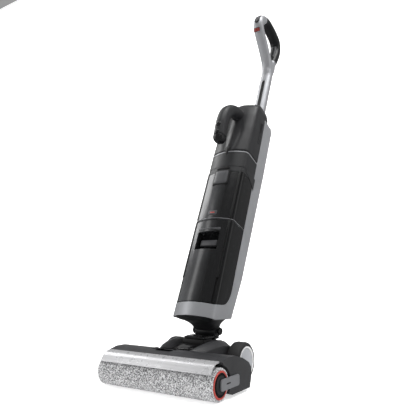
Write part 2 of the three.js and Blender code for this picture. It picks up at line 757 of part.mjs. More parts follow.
// Plastic core inside the spine: closes the channel and carries duct, pump and wiring.
function buildRearCore() {
  const low = bandBottom + 11 + undersideAt(bodyBackLow);
  const high = spineTop - poleInset - 6;
  const column = (inset, from, to) => {
    const whole = spineRoom(inset, from, to);
    return whole.intersect(box([-200, -spineFront + inset, from - 1], [200, 200, to + 1]));
  };
  const shell = column(gap + 0.1, low, high);
  const hollow = column(wall, low - 5, high - wall);
  const inlet = rod('y', 14, -20, 20, [0, -spineFront, tankTop - 40]);
  addToBody('rear_core', shell.subtract(hollow).subtract(inlet), 'dark');
  const at = [0, -pivotU - 1.5, 0];
  addToBody('suction_duct', tube('z', 11.2, 9.4, bandBottom + 12, tankTop - 30, at, 24), 'dark');
  const pumpX = bodyHalf - 22;
  const pump = rod('z', 9, bandTop + 20, bandTop + 62, [pumpX, -pivotU, 0], 20);
  const nozzle = rod('z', 3, bandTop + 10, bandTop + 21, [pumpX, -pivotU, 0], 12);
  addToBody('water_pump', pump.add(nozzle), 'dark');
}

// Two water tanks. Each is a hollow shell with a glossy front panel set between two grooves.
function panelBand(inset, low, high, half) {
  return frontPrism(inset, low, high, 20).intersect(box([-half, -200, low], [half, -20, high]));
}

function buildTank(name, low, high, openings) {
  const back = spineFront + 0.4;
  const groove = bodyHalf - 6;
  const outer = frontPrism(0.4, low, high, back);
  const front = panelBand(-1, low - 1, high + 1, groove).subtract(panelBand(2.4, low - 2, high + 2, groove + 1));
  const room = frontPrism(5, low + wall, high + 5, back + wall).intersect(frameOpening(gap + wall));
  const pockets = openings.map((cut) => cut.pocket);
  let shell = outer.subtract(front).intersect(frameOpening(gap));
  let hollow = room;
  for (const cut of openings) hollow = hollow.subtract(cut.keep);
  shell = shell.subtract(hollow);
  for (const pocket of pockets) shell = shell.subtract(pocket);
  const face = bodyHalf - 9.5;
  let panel = panelBand(0, low + 1.5, high - 1.5, face).subtract(panelBand(2, low, high, face + 1));
  for (const cut of openings) panel = panel.subtract(cut.window);
  addToBody(`${name}_shell`, shell, 'smoke');
  addToBody(`${name}_panel`, panel, 'smoke');
}

// Box opening in a tank front: a pocket, the wall kept round it and the window in the panel.
function frontOpening(halfX, low, high, depth) {
  const inner = -(bodyFront - depth);
  const cut = (extra, into) => across(roundedCut(-100, inner + into, low - extra, high + extra), -halfX - extra, halfX + extra);
  return { pocket: cut(0, 0), keep: cut(wall, wall), window: cut(0, 0) };
}

function roundedCut(y0, y1, z0, z1) {
  return polygon([[y0, z0], [y1, z0], [y1, z1], [y0, z1]]);
}

function buildTanks() {
  const recessTop = tankSeam - 33;
  const recess = frontOpening(29, recessTop - 44, recessTop, 27);
  const lidHeight = 14;
  const cleanTop = tankSeam - 0.6;
  buildTank('clean_tank', bandTop + 0.6, cleanTop - wall - gap, [recess]);
  const catchTop = recessTop - 15;
  addToBody('clean_tank_latch', box([-22, -(bodyFront - 12), catchTop - 14], [22, -(bodyFront - 26.6), catchTop]), 'grey');
  const capPlate = frontPrism(0.4, cleanTop - wall, cleanTop, spineFront + 0.4);
  const plug = rod('z', 15, cleanTop - wall - 8, cleanTop - wall + 1, [0, -18, 0], 24);
  addToBody('clean_tank_lid', capPlate.add(plug), 'dark');

  const button = frontOpening(20.3, tankTop - 53, tankTop - 12, 8.4);
  const usedTop = tankTop - lidHeight;
  buildTank('used_tank', tankSeam, usedTop - gap, [button]);
  const lid = frontPrism(0.4, usedTop, tankTop - 0.6, spineFront + 0.4);
  addToBody('used_tank_lid', lid.subtract(button.pocket), 'dark');
  const pipe = tube('z', 11, 9, tankSeam + wall + gap, usedTop - 24, [0, -10, 0], 24);
  addToBody('inlet_pipe', pipe, 'dark');
}

function buildTankButton() {
  const face = panelBand(-0.4, tankTop - 52.6, tankTop - 12.4, 19.9);
  const body = face.subtract(panelBand(3.2, tankTop - 60, tankTop, 30));
  addToBody('tank_button', body, 'grey');
}

// Hand vacuum: base, silver stripe, housing and pistol grip.
// Stacked sections of the main unit: height share, narrowing of a side, retreat of the front, fall of the sides.
function unitRings(grow, base) {
  const steps = [
    [0, 0, 0, 0], [0.12, 0, 1, 0], [0.42, 0, 3, 0], [0.64, 1, 6, 0], [0.8, 2, 11, 1], [0.875, 5, 21, 4], [0.935, 8, 33, 7],
    [0.975, 13, 44, 9], [1, 22, 54, 9],
  ];
  return steps.map(([t, narrow, retreat, fall], i) => {
    const w = base + (unitTop - base) * t + (i === 0 ? -grow : i === steps.length - 1 ? grow : 0);
    const scale = (bodyHalf - narrow + grow) / bodyHalf;
    const front = (bodyFront - retreat + grow) / bodyFront;
    const back = (38 - Math.max(narrow - 6, 0) + grow) / bodyBackLow;
    return bodyRing(0, bodyBackLow, w).map(([x, y, z]) => {
      return [x * scale, y * (y < 0 ? front : back), z - (fall * Math.abs(x)) / bodyHalf];
    });
  });
}

function buildHandVacuum() {
  const back = spineFront + 0.4;
  const base = frontPrism(0, tankTop, stripeW - gap, back).subtract(frontPrism(3, tankTop + 3, stripeW + 1, back + 3));
  addToBody('unit_base', base, 'dark');
  addToBody('unit_stripe', frontPrism(-0.2, stripeW, stripeW + stripeHeight, back).subtract(frontPrism(3, stripeW - 1, stripeW + 9, back + 3)), 'silver');
  const start = stripeW + stripeHeight + gap;
  const behind = box([-200, -back, 0], [200, 200, spineTop + 1]);
  const outer = loft(unitRings(0, start)).subtract(behind);
  const inner = loft(unitRings(-3, start - 8)).subtract(box([-200, -back - 3, 0], [200, 200, spineTop + 4]));
  const pole = poleSolid(1.2, spineTop - 10, unitTop + 60);
  addToBody('unit_housing', outer.subtract(inner).subtract(pole), 'dark');
}

const pistolPath = [
  [20, stripeW + 118], [52, stripeW + 125], [82, stripeW + 111], [99, stripeW + 88], [103.5, stripeW + 62], [102, stripeW + 36],
  [99.5, stripeW + 14],
];

function buildPistolGrip() {
  const size = (s) => [pistolHalfX * (1 + 0.25 * (1 - s) ** 3), pistolHalfN * (1 + 0.3 * (1 - s) ** 3)];
  const whole = limb(pistolPath, size, 16);
  const start = stripeW + stripeHeight + gap;
  let grip = whole.subtract(loft(unitRings(gap, start)));
  for (const [low, high] of gripButtons) grip = grip.subtract(gripButtonSolid(low, high, gap, 6.2));
  addToBody('pistol_grip', largest(grip), 'dark');
  const end = pistolPath[pistolPath.length - 1];
  const down = [[end[0] - 0.05, end[1] - gap], [end[0] - 0.9, end[1] - 9], [end[0] - 1.8, end[1] - 18]];
  const capSize = (s) => [pistolHalfX * Math.sqrt(1 - 0.86 * s * s), pistolHalfN * Math.sqrt(1 - 0.86 * s * s)];
  addToBody('grip_cap', limb(down, capSize, 6), 'gloss');
}

const gripButtons = [[stripeW + 32, stripeW + 52], [stripeW + 13, stripeW + 27]];

// Button on the front of the pistol grip.
function gripButtonSolid(low, high, grow, depth) {
  const face = 103 + pistolHalfN;
  return box([-6 - grow, -face - 6, low - grow], [6 + grow, -face + depth, high + grow]);
}

function buildGripButtons() {
  const size = () => [pistolHalfX + 0.3, pistolHalfN + 0.5];
  const skin = limb(pistolPath, size, 16);
  const names = ['power_button', 'mode_button'];
  gripButtons.forEach(([low, high], i) => {
    addToBody(names[i], skin.intersect(gripButtonSolid(low, high, 0, 3.6)), 'gloss');
  });
}

function buildUnitInternals() {
  const centre = [0, -15, 0];
  const low = stripeW + 52;
  const motor = [
    [0, low], [16, low], [16, low + 34], [19, low + 38], [19, low + 56], [0, low + 56],
  ];
  addToBody('vacuum_motor', turned(motor, 'z', centre, 28), 'steel');
  const pack = roundedPlate([-33, -38], [33, 2], 5);
  addToBody('battery_pack', upwards(pack, tankTop + 3.4, stripeW + 40), 'green');
}

// ---------------------------------------------------------------- pole and handle

function handlePoint(reach, height) {
  const u = poleU + (reach < 0 ? reach * handleBack : reach * handleReach);
  return [u, poleTop + height * handleHeight];
}

const nosePath = [
  [0, 0], [0, 0.04], [0.03, 0.13], [0.17, 0.28], [0.52, 0.455], [0.86, 0.605], [0.985, 0.7], [1, 0.81], [0.86, 0.94], [0.66, 0.985],
].map(([a, b]) => handlePoint(a, b));
const gripPath = [
  [0.66, 0.985], [0.4, 1], [0.14, 0.99], [-0.35, 0.95], [-0.95, 0.83], [-1, 0.68], [-0.72, 0.5],
].map(([a, b]) => handlePoint(a, b));
const stubPath = [[0, 0], [0, 0.04], [-0.15, 0.2], [-0.4, 0.35], [-0.72, 0.5]].map(([a, b]) => handlePoint(a, b));

function buildPole() {
  const low = spineTop - poleInset + gap;
  const solid = poleSolid(0, low, poleTop - gap);
  const bore = poleSolid(-2.2, low - 1, poleTop - 6);
  const slot = box([-4.4, -poleU - poleHalfU - 2, unitTop + 12], [4.4, -poleU - poleHalfU + 1.6, poleTop - 22]);
  addToBody('pole', solid.subtract(bore).subtract(slot), 'silver');
  const inlay = box([-4.1, -poleU - poleHalfU, unitTop + 12.3], [4.1, -poleU - poleHalfU + 1.3, poleTop - 22.3]);
  addToBody('pole_inlay', inlay, 'dark');
}

const buttonCentre = [0.975, 0.86];

// Oblong block let into the outside of the handle nose.
function noseBlock(grow, outwards, inwards) {
  const [u, w] = handlePoint(...buttonCentre);
  const geometry = new THREE.BoxGeometry(16 + 2 * grow, 24 + 2 * grow, outwards + inwards);
  geometry.translate(0, 0, (outwards - inwards) / 2);
  geometry.rotateX(THREE.MathUtils.degToRad(58));
  geometry.translate(0, -u, w);
  return solidOf(geometry);
}

function buildHandle() {
  const size = (s) => {
    const blend = Math.min(s / 0.3, 1);
    return [poleHalfX + (gripHalfX - poleHalfX) * blend, poleHalfU + (gripHalfN - poleHalfU) * blend];
  };
  const stubSize = (s) => [poleHalfX + (gripHalfX - poleHalfX) * s, poleHalfU + (gripHalfN - poleHalfU) * s];
  const shellFrom = (amount) => {
    const grown = (at) => (s) => at(s).map((half) => half + amount);
    const nose = limb(movedEnds(nosePath, -amount), grown(size), 20);
    return nose.add(limb(movedEnds(stubPath, -amount), grown(stubSize), 8));
  };
  const shell = shellFrom(0);
  const gripSize = (s) => [gripHalfX - 0.3 + 1.2 * Math.sin(Math.PI * s), gripHalfN - 0.3 + 1.2 * Math.sin(Math.PI * s)];
  const grip = limb(movedEnds(gripPath, gap), gripSize, 16).subtract(shellFrom(gap));
  addToBody('handle_shell', shell.subtract(noseBlock(gap, 30, 5.6)), 'silver');
  addToBody('handle_grip', largest(grip), 'gloss');
}

// A path whose two ends are drawn in by a distance, or pushed out when it is negative.
function movedEnds(path, amount) {
  const ends = [[path[0], path[1]], [path[path.length - 1], path[path.length - 2]]];
  const moved = ends.map(([end, next]) => {
    const length = Math.hypot(next[0] - end[0], next[1] - end[1]);
    return [end[0] + ((next[0] - end[0]) * amount) / length, end[1] + ((next[1] - end[1]) * amount) / length];
  });
  return [moved[0], ...path.slice(1, -1), moved[1]];
}

function buildCleanButton() {
  const size = () => [gripHalfX + 0.2, gripHalfN + 0.4];
  const skin = limb(nosePath, size, 20);
  addToBody('clean_button', skin.intersect(noseBlock(0, 30, 3.2)), 'gloss');
}

// ---------------------------------------------------------------- build

buildHeadShell();
buildEndBlocks();
buildShoulders();
buildNeckSocket();
buildAxle();
buildWheels();
buildRoller();
buildRollerDrive();
buildCarrier();
buildShield();
buildWipers();
buildNeck();
buildNeckHose();
buildFrame();
buildFunnel();
buildRearCore();
buildTanks();
buildTankButton();
buildHandVacuum();
buildPistolGrip();
buildGripButtons();
buildUnitInternals();
buildPole();
buildHandle();
buildCleanButton();

// The finished part stands on the floor with its origin under the middle of its box.
const bounds = new THREE.Box3().setFromObject(assembly);
const middle = bounds.getCenter(new THREE.Vector3());
for (const mesh of assembly.children) {
  mesh.geometry.translate(-middle.x, -middle.y, -bounds.min.z);
}

export default assembly;
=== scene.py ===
# %% [markdown]
# # An upright floor scrubber, made up for looking at
#
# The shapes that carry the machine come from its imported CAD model. This lesson dresses that model:
# some CAD pieces only get a finish, and those that the eye rests on longest are built again here, in
# Blender, with rounder forms and small details. Every piece rides on the CAD body it belongs to, so
# it moves when the joint moves.

# %%
import math
import json
import random

import bmesh
import bpy
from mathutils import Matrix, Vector, noise


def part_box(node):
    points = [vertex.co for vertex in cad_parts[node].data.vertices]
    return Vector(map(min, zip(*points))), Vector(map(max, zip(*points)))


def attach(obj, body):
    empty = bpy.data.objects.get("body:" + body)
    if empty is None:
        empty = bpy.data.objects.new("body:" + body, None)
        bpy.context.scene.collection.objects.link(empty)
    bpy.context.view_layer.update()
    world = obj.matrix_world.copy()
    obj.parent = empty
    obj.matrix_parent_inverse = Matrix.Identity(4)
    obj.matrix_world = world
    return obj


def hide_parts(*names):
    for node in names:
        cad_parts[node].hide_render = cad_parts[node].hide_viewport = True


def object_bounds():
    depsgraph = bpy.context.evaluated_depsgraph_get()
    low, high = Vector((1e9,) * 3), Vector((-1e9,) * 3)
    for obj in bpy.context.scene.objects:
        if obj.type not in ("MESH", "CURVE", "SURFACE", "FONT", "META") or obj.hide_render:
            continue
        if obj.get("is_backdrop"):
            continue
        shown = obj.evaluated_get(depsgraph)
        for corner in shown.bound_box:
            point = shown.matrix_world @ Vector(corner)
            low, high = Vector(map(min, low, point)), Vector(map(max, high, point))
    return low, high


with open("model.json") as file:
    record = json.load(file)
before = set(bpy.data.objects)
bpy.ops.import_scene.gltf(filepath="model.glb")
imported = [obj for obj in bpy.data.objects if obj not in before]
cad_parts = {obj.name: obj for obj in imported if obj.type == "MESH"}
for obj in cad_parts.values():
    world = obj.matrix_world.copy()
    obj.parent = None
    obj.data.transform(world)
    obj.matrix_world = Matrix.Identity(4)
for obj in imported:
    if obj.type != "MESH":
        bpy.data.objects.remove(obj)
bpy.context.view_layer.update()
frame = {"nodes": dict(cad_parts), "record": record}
nodes = frame["nodes"]
random.seed(11)
print("nodes carried over:", len(nodes))

# %% [markdown]
# ## Two frames to draw in
#
# The floor head stands square on the ground, so its pieces are drawn in plain coordinates: x across,
# y from front to back, z up. The tall body leans back about the recline pin. Its pieces are easier to
# draw upright and then lean, so `lean(x, out, along)` takes a distance across, a distance out towards
# the front and a distance along the body, and returns the point in space. Lengths are in millimetres
# while drawing and turn into metres at the last moment.

# %%
MM = 0.001
TILT = math.radians(23)
ALONG = Vector((0, math.sin(TILT), math.cos(TILT)))
OUT = Vector((0, -math.cos(TILT), math.sin(TILT)))
PIN = Vector((0, -107.9, 96.0))
PIN_OUT = -26.0
PIN_ALONG = 63.5
ROLLER = Vector((0, -272.9, 29.0))


def lean(x, out, along):
    place = PIN + Vector((x, 0, 0)) + (out - PIN_OUT) * OUT + (along - PIN_ALONG) * ALONG
    return place * MM


# %% [markdown]
# ## Helpers for building and placing meshes
#
# Two ways of turning drawings into meshes are used again and again. `shell_of` joins a stack of
# closed rings by bridging each ring to the next, which suits housings and grips. `spun` turns a
# profile about an axis, which suits wheels, pins and rings. Both leave real quads, so a bevel or a
# subdivision surface behaves well on them afterwards.

# %%
def piece(name, mesh, body, replaces=()):
    obj = bpy.data.objects.new(name, mesh)
    bpy.context.scene.collection.objects.link(obj)
    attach(obj, body)
    if replaces:
        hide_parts(*replaces)
    return obj


def mesh_from(bm, name, smooth=True):
    bmesh.ops.remove_doubles(bm, verts=bm.verts, dist=1e-6)
    bmesh.ops.recalc_face_normals(bm, faces=bm.faces)
    for face in bm.faces:
        face.smooth = smooth
    mesh = bpy.data.meshes.new(name)
    bm.to_mesh(mesh)
    bm.free()
    return mesh


def shell_of(rings, closed=True, ends=True):
    bm = bmesh.new()
    loops = []
    for ring in rings:
        verts = [bm.verts.new(point) for point in ring]
        count = len(verts)
        span = count if closed else count - 1
        loops.append([bm.edges.new((verts[i], verts[(i + 1) % count])) for i in range(span)])
    for low, high in zip(loops, loops[1:]):
        bmesh.ops.bridge_loops(bm, edges=low + high)
    if ends:
        for loop in (loops[0], loops[-1]):
            bmesh.ops.contextual_create(bm, geom=loop)
    return bm


def spun(profile, centre, axis, steps=64, sweep=360.0):
    """Turns (distance along the axis, radius) pairs about an axis through centre."""
    bm = bmesh.new()
    axis = Vector(axis).normalized()
    side = axis.orthogonal().normalized()
    verts = [bm.verts.new((centre + axis * along + side * radius) * MM) for along, radius in profile]
    edges = [bm.edges.new(pair) for pair in zip(verts, verts[1:])]
    bmesh.ops.spin(
        bm, geom=verts + edges, cent=centre * MM, axis=axis,
        angle=math.radians(sweep), steps=steps, use_merge=sweep == 360.0,
    )
    return bm


def bevelled(obj, width, segments=3, angle=32):
    bevel = obj.modifiers.new("rounded_edges", "BEVEL")
    bevel.width = width * MM
    bevel.segments = segments
    bevel.limit_method = "ANGLE"
    bevel.angle_limit = math.radians(angle)
    bevel.use_clamp_overlap = True
    bevel.harden_normals = False
    weighted = obj.modifiers.new("even_shading", "WEIGHTED_NORMAL")
    weighted.keep_sharp = False
    return obj


def subdivided(obj, levels=2):
    subsurf = obj.modifiers.new("smooth_form", "SUBSURF")
    subsurf.levels = levels
    subsurf.render_levels = levels
    return obj


# %% [markdown]
# ## A kit of finishes
#
# Every finish is a node graph with the same four layers, and each layer can be turned up or down:
# a slow change of tone over the piece, a fine grain in the colour and the bump, edges made lighter
# by rubbed wear and by a painted highlight, and fine scratches or dust in the roughness. All of it is
# measured in the object's own coordinates, in metres, so it doesn't swim when a joint moves.

# %%
class Graph:
    """A material's node tree with short ways to add and join nodes."""

    def __init__(self, name):
        self.material = bpy.data.materials.new(name)
        self.material.use_nodes = True
        self.tree = self.material.node_tree
        self.tree.nodes.clear()
        self.output = self.tree.nodes.new("ShaderNodeOutputMaterial")
        self.shader = self.tree.nodes.new("ShaderNodeBsdfPrincipled")
        self.join(self.shader.outputs[0], self.output.inputs["Surface"])
        coords = self.tree.nodes.new("ShaderNodeTexCoord")
        self.place = coords.outputs["Object"]

    def join(self, source, target):
        self.tree.links.new(source, target)

    def put(self, socket, value):
        if hasattr(value, "is_output"):
            self.join(value, socket)
        else:
            socket.default_value = value

    def scaled(self, factors):
        node = self.tree.nodes.new("ShaderNodeMapping")
        self.join(self.place, node.inputs["Vector"])
        node.inputs["Scale"].default_value = factors
        return node.outputs[0]

    def noise(self, scale, detail=4.0, rough=0.55, stretch=(1, 1, 1), vector=None):
        node = self.tree.nodes.new("ShaderNodeTexNoise")
        self.join(vector or self.scaled(stretch), node.inputs["Vector"])
        node.inputs["Scale"].default_value = scale
        node.inputs["Detail"].default_value = detail
        node.inputs["Roughness"].default_value = rough
        return node.outputs["Fac"]

    def cells(self, scale, output="Distance", feature="F1", stretch=(1, 1, 1)):
        node = self.tree.nodes.new("ShaderNodeTexVoronoi")
        node.feature = feature
        self.join(self.scaled(stretch), node.inputs["Vector"])
        node.inputs["Scale"].default_value = scale
        return node.outputs[output]

    def axis(self, letter):
        node = self.tree.nodes.new("ShaderNodeSeparateXYZ")
        self.join(self.place, node.inputs[0])
        return node.outputs[letter]

    def math(self, operation, first, second=0.0, third=0.0):
        node = self.tree.nodes.new("ShaderNodeMath")
        node.operation = operation
        for socket, value in zip(node.inputs, (first, second, third)):
            self.put(socket, value)
        return node.outputs[0]

    def remap(self, value, low, high, to_low=0.0, to_high=1.0):
        node = self.tree.nodes.new("ShaderNodeMapRange")
        for socket, amount in zip(node.inputs, (value, low, high, to_low, to_high)):
            self.put(socket, amount)
        return node.outputs[0]

    def mix(self, factor, first, second):
        node = self.tree.nodes.new("ShaderNodeMix")
        node.data_type = "RGBA"
        self.put(node.inputs["Factor"], factor)
        for socket, colour in ((node.inputs[6], first), (node.inputs[7], second)):
            self.put(socket, colour)
        return node.outputs[2]

    def rubbed(self, radius):
        """1 on edges that stand out or in, 0 on open faces."""
        bevel = self.tree.nodes.new("ShaderNodeBevel")
        bevel.samples = 4
        bevel.inputs["Radius"].default_value = radius * MM
        geometry = self.tree.nodes.new("ShaderNodeNewGeometry")
        dot = self.tree.nodes.new("ShaderNodeVectorMath")
        dot.operation = "DOT_PRODUCT"
        self.join(bevel.outputs[0], dot.inputs[0])
        self.join(geometry.outputs["Normal"], dot.inputs[1])
        return self.remap(dot.outputs["Value"], 1.0, 0.86), bevel.outputs[0]

    def bump(self, height, strength, distance, normal=None):
        node = self.tree.nodes.new("ShaderNodeBump")
        node.inputs["Strength"].default_value = strength
        node.inputs["Distance"].default_value = distance * MM
        self.join(height, node.inputs["Height"])
        if normal is not None:
            self.join(normal, node.inputs["Normal"])
        return node.outputs[0]

    def set(self, **values):
        for name, value in values.items():
            self.put(self.shader.inputs[name.replace("_", " ")], value)


def tone(colour, factor, alpha=1.0):
    return (*[min(1.0, channel * factor) for channel in colour], alpha)


def finish(
    name, colour, roughness, metallic=0.0, variation=0.12, grain=900.0, grain_depth=0.04,
    stretch=(1, 1, 1), edge=0.35, edge_width=0.8, shine=0.5, dust=0.06,
):
    g = Graph(name)
    slow = g.noise(14.0, detail=3.0)
    fine = g.noise(grain, detail=2.0, rough=0.6, stretch=stretch)
    speck = g.cells(grain * 0.35, stretch=stretch)
    base = g.mix(g.remap(slow, 0.3, 0.7), tone(colour, 1 - variation), tone(colour, 1 + variation))
    grained = g.mix(g.remap(fine, 0.3, 0.7, 0.0, 0.5), base, tone(colour, 0.82))
    worn, soft_normal = g.rubbed(edge_width)
    patchy = g.math("MULTIPLY", worn, g.remap(g.noise(160.0), 0.35, 0.65, 0.25, 1.0))
    # Edges are made lighter: partly rubbed wear, partly a painted highlight.
    edge_wear_and_highlight = g.math("MULTIPLY", patchy, edge)
    g.set(Base_Color=g.mix(edge_wear_and_highlight, grained, tone(colour, 2.1)), Metallic=metallic)
    smears = g.remap(g.noise(46.0, detail=6.0, stretch=(1, 1, 0.35)), 0.35, 0.75, -dust, dust)
    rough = g.math("ADD", g.remap(fine, 0.25, 0.75, roughness - 0.03, roughness + 0.03), smears)
    g.set(Roughness=g.math("MAXIMUM", rough, 0.03))
    height = g.math("ADD", fine, g.math("MULTIPLY", speck, 0.5))
    g.set(Normal=g.bump(height, 0.35, grain_depth, soft_normal))
    g.set(Specular_IOR_Level=shine)
    return g


DARK = (0.017, 0.0175, 0.019)
charcoal = finish("charcoal_moulding", DARK, 0.42, grain=1500.0, grain_depth=0.03, edge=0.4, shine=0.32)
deep = finish(
    "deep_matt_moulding", (0.006, 0.006, 0.0065), 0.5, grain=1700.0, grain_depth=0.03, edge=0.3, shine=0.25,
)
black = finish(
    "polished_black", (0.006, 0.006, 0.0068), 0.13, grain=2600.0, grain_depth=0.004, edge=0.3, shine=0.4,
)
silver = finish(
    "painted_silver", (0.33, 0.335, 0.35), 0.40, metallic=0.5, variation=0.05, grain=1500.0,
    grain_depth=0.012, stretch=(1, 1, 0.06), edge=0.2, dust=0.04, shine=0.25,
)
graphite = finish(
    "graphite_moulding", (0.034, 0.0345, 0.037), 0.40, grain=1500.0, grain_depth=0.03, edge=0.3, shine=0.3,
)
satin = finish(
    "satin_black", (0.007, 0.007, 0.0078), 0.34, grain=1900.0, grain_depth=0.02, edge=0.3, shine=0.25,
)
ash = finish("ash_grey_moulding", (0.055, 0.056, 0.06), 0.40, grain=1500.0, grain_depth=0.02, shine=0.35)
steel = finish("turned_steel", (0.52, 0.53, 0.54), 0.28, metallic=1.0, stretch=(0.08, 1, 1), grain_depth=0.01)
grey = finish("satin_grey", (0.16, 0.163, 0.172), 0.40, grain=1500.0, grain_depth=0.02, shine=0.3)
hub_grey = finish("pale_grey_moulding", (0.36, 0.37, 0.39), 0.46, grain=1300.0, grain_depth=0.035, edge=0.2)
white = finish("white_moulding", (0.80, 0.80, 0.80), 0.30, variation=0.03, grain_depth=0.01, edge=0.0)
rubber = finish("black_rubber", (0.014, 0.014, 0.015), 0.62, grain=1100.0, grain_depth=0.05, edge=0.5)
red = finish("red_moulding", (0.50, 0.055, 0.04), 0.35, variation=0.08, grain_depth=0.02, edge=0.2)
wrap = finish("cell_wrap", (0.02, 0.09, 0.05), 0.35)


def smoky_with_painted_reflection(name, left, right, roughness):
    """Tinted glossy plastic whose colour itself goes from a painted reflection, lighter on the left, to
    painted shade, darker on the right.
    """
    g = Graph(name)
    across = g.remap(g.axis("X"), -0.042, 0.020)
    cloud = g.noise(9.0, detail=3.0)
    # painted reflection on the left fading to painted shade on the right, across the piece
    painted_reflection_gradient = g.mix(across, tone(left, 1.0), tone(right, 1.0))
    swirl = g.mix(g.remap(cloud, 0.35, 0.7, 0.0, 0.4), painted_reflection_gradient, tone(right, 0.8))
    ribs = g.noise(240.0, detail=2.0, stretch=(1, 1, 0.04))
    g.set(Base_Color=g.mix(g.remap(ribs, 0.3, 0.7, 0.0, 0.25), swirl, tone(right, 1.3)))
    worn, soft_normal = g.rubbed(0.6)
    scratches = g.remap(g.noise(70.0, detail=7.0, rough=0.7), 0.45, 0.75, 0.0, 0.1)
    g.set(Roughness=g.math("ADD", scratches, g.math("MULTIPLY_ADD", worn, 0.1, roughness)))
    g.set(Normal=g.bump(ribs, 0.2, 0.01, soft_normal), Specular_IOR_Level=0.33)
    return g


def clear(name, tint, alpha, roughness):
    g = Graph(name)
    streaks = g.noise(900.0, detail=3.0, stretch=(0.01, 1, 1))
    haze = g.remap(streaks, 0.3, 0.7, -0.08, 0.08)
    g.set(Base_Color=g.mix(g.remap(streaks, 0.35, 0.65), tone(tint, 0.90), tone(tint, 1.08)))
    dull = g.remap(g.noise(90.0), 0.3, 0.7, roughness, roughness + 0.12)
    g.set(Alpha=g.math("MULTIPLY_ADD", haze, 0.4, alpha), Roughness=dull)
    g.set(Normal=g.bump(streaks, 0.12, 0.02), Metallic=0.3)
    g.material.surface_render_method = "BLENDED"
    return g


# The tint is the plastic's own; its lighter left and darker right are a painted reflection and painted shade.
smoked_wall_painted_reflection = smoky_with_painted_reflection("smoked_wall_painted_reflection", (0.022, 0.023, 0.025), (0.004, 0.0042, 0.0046), 0.14)
smoked_panel_painted_reflection = smoky_with_painted_reflection("smoked_panel_painted_reflection", (0.115, 0.117, 0.122), (0.007, 0.0072, 0.0078), 0.17)
clear_shield = clear("clear_shield", (0.50, 0.50, 0.51), 0.92, 0.24)
print("plain finishes:", len(bpy.data.materials))


# %% [markdown]
# ## Camera, floor and light
#
# A pale plain sweep stands under and behind the machine. Light is soft and comes mostly from above
# and from the right, with a long strip for the bright line down the spine.

# %%
def panel_light(name, place, target, size, power, colour=(1, 1, 1)):
    data = bpy.data.lights.new(name, "AREA")
    data.shape = "RECTANGLE"
    data.size, data.size_y = size
    data.energy = power
    data.color = colour
    lamp = bpy.data.objects.new(name, data)
    bpy.context.scene.collection.objects.link(lamp)
    lamp.location = place
    lamp.rotation_euler = (Vector(target) - Vector(place)).to_track_quat("-Z", "Y").to_euler()
    return lamp


def make_floor():
    bm = bmesh.new()
    bmesh.ops.create_grid(bm, x_segments=1, y_segments=1, size=12.0)
    far = [edge for edge in bm.edges if all(vert.co.y > 0 for vert in edge.verts)]
    bmesh.ops.translate(bm, vec=(0, -8.6, 0), verts=[vert for edge in far for vert in edge.verts])
    turns, bend = 10, 1.4
    for turn in range(turns):
        made = bmesh.ops.extrude_edge_only(bm, edges=far)["geom"]
        far = [item for item in made if isinstance(item, bmesh.types.BMEdge)]
        slope = math.radians(90 * (turn + 0.5) / turns)
        step = bend * math.radians(90) / turns
        verts = {vert for edge in far for vert in edge.verts}
        bmesh.ops.translate(bm, vec=(0, step * math.cos(slope), step * math.sin(slope)), verts=list(verts))
    made = bmesh.ops.extrude_edge_only(bm, edges=far)["geom"]
    top = [item for item in made if isinstance(item, bmesh.types.BMVert)]
    bmesh.ops.translate(bm, vec=(0, 0, 5.0), verts=top)
    floor = bpy.data.objects.new("floor", mesh_from(bm, "floor"))
    bpy.context.scene.collection.objects.link(floor)
    g = Graph("pale_sweep")
    g.set(Base_Color=g.mix(g.noise(3.0), (0.93, 0.93, 0.93, 1), (0.95, 0.95, 0.95, 1)), Roughness=0.6)
    g.set(Emission_Color=(1.0, 1.0, 1.0, 1), Emission_Strength=0.55)
    floor.data.materials.append(g.material)
    floor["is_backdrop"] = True
    floor.visible_glossy = False
    return floor


floor = make_floor()
world = bpy.data.worlds.new("soft_room")
bpy.context.scene.world = world
world.use_nodes = True
world.node_tree.nodes["Background"].inputs[0].default_value = (1.0, 1.0, 1.0, 1)
world.node_tree.nodes["Background"].inputs[1].default_value = 0.32
panel_light("above", (0.3, -0.5, 2.6), (0, 0, 0.4), (1.6, 1.2), 20)
panel_light("right_strip", (2.0, 0.7, 1.0), (0, 0, 0.5), (0.6, 1.9), 4)
panel_light("front_left", (-1.3, -1.1, 0.9), (0, 0, 0.42), (0.35, 1.7), 7)
panel_light("backdrop_left", (-3.0, 0.2, 3.0), (-2.0, 4.0, 1.2), (2.5, 2.5), 120)
panel_light("backdrop_right", (1.2, 0.6, 3.4), (-0.5, 4.2, 1.4), (2.5, 2.5), 110)
bpy.context.scene.view_settings.view_transform = "Standard"
bpy.context.scene.view_settings.look = "None"

camera_data = bpy.data.cameras.new("camera")
camera_data.lens = 39.79
camera_data.sensor_width = 36.0
camera_data.shift_x = -0.0017
camera = bpy.data.objects.new("camera", camera_data)
bpy.context.scene.collection.objects.link(camera)
camera.location = (0.5577, -0.9749, 0.2136)
camera.rotation_euler = (math.radians(98.4), 0, math.radians(32.6))
bpy.context.scene.camera = camera

# %% [markdown]
# ## Dressing the CAD pieces
#
# A carried-over piece keeps its mesh. Its doubled corners are welded by a modifier and its shading is
# split where faces meet at more than a set angle, so curved faces look smooth and corners stay crisp.

# %%
def dress(node, look, angle=34):
    obj = nodes[node]
    obj.data.materials.clear()
    obj.data.materials.append(look.material)
    if "custom_normal" in obj.data.attributes:
        obj.data.attributes.remove(obj.data.attributes["custom_normal"])
    for face in obj.data.polygons:
        face.use_smooth = True
    weld = obj.modifiers.new("weld", "WELD")
    weld.merge_threshold = 2e-5
    split = obj.modifiers.new("crisp_corners", "EDGE_SPLIT")
    split.split_angle = math.radians(angle)
    split.use_edge_sharp = False
    return obj


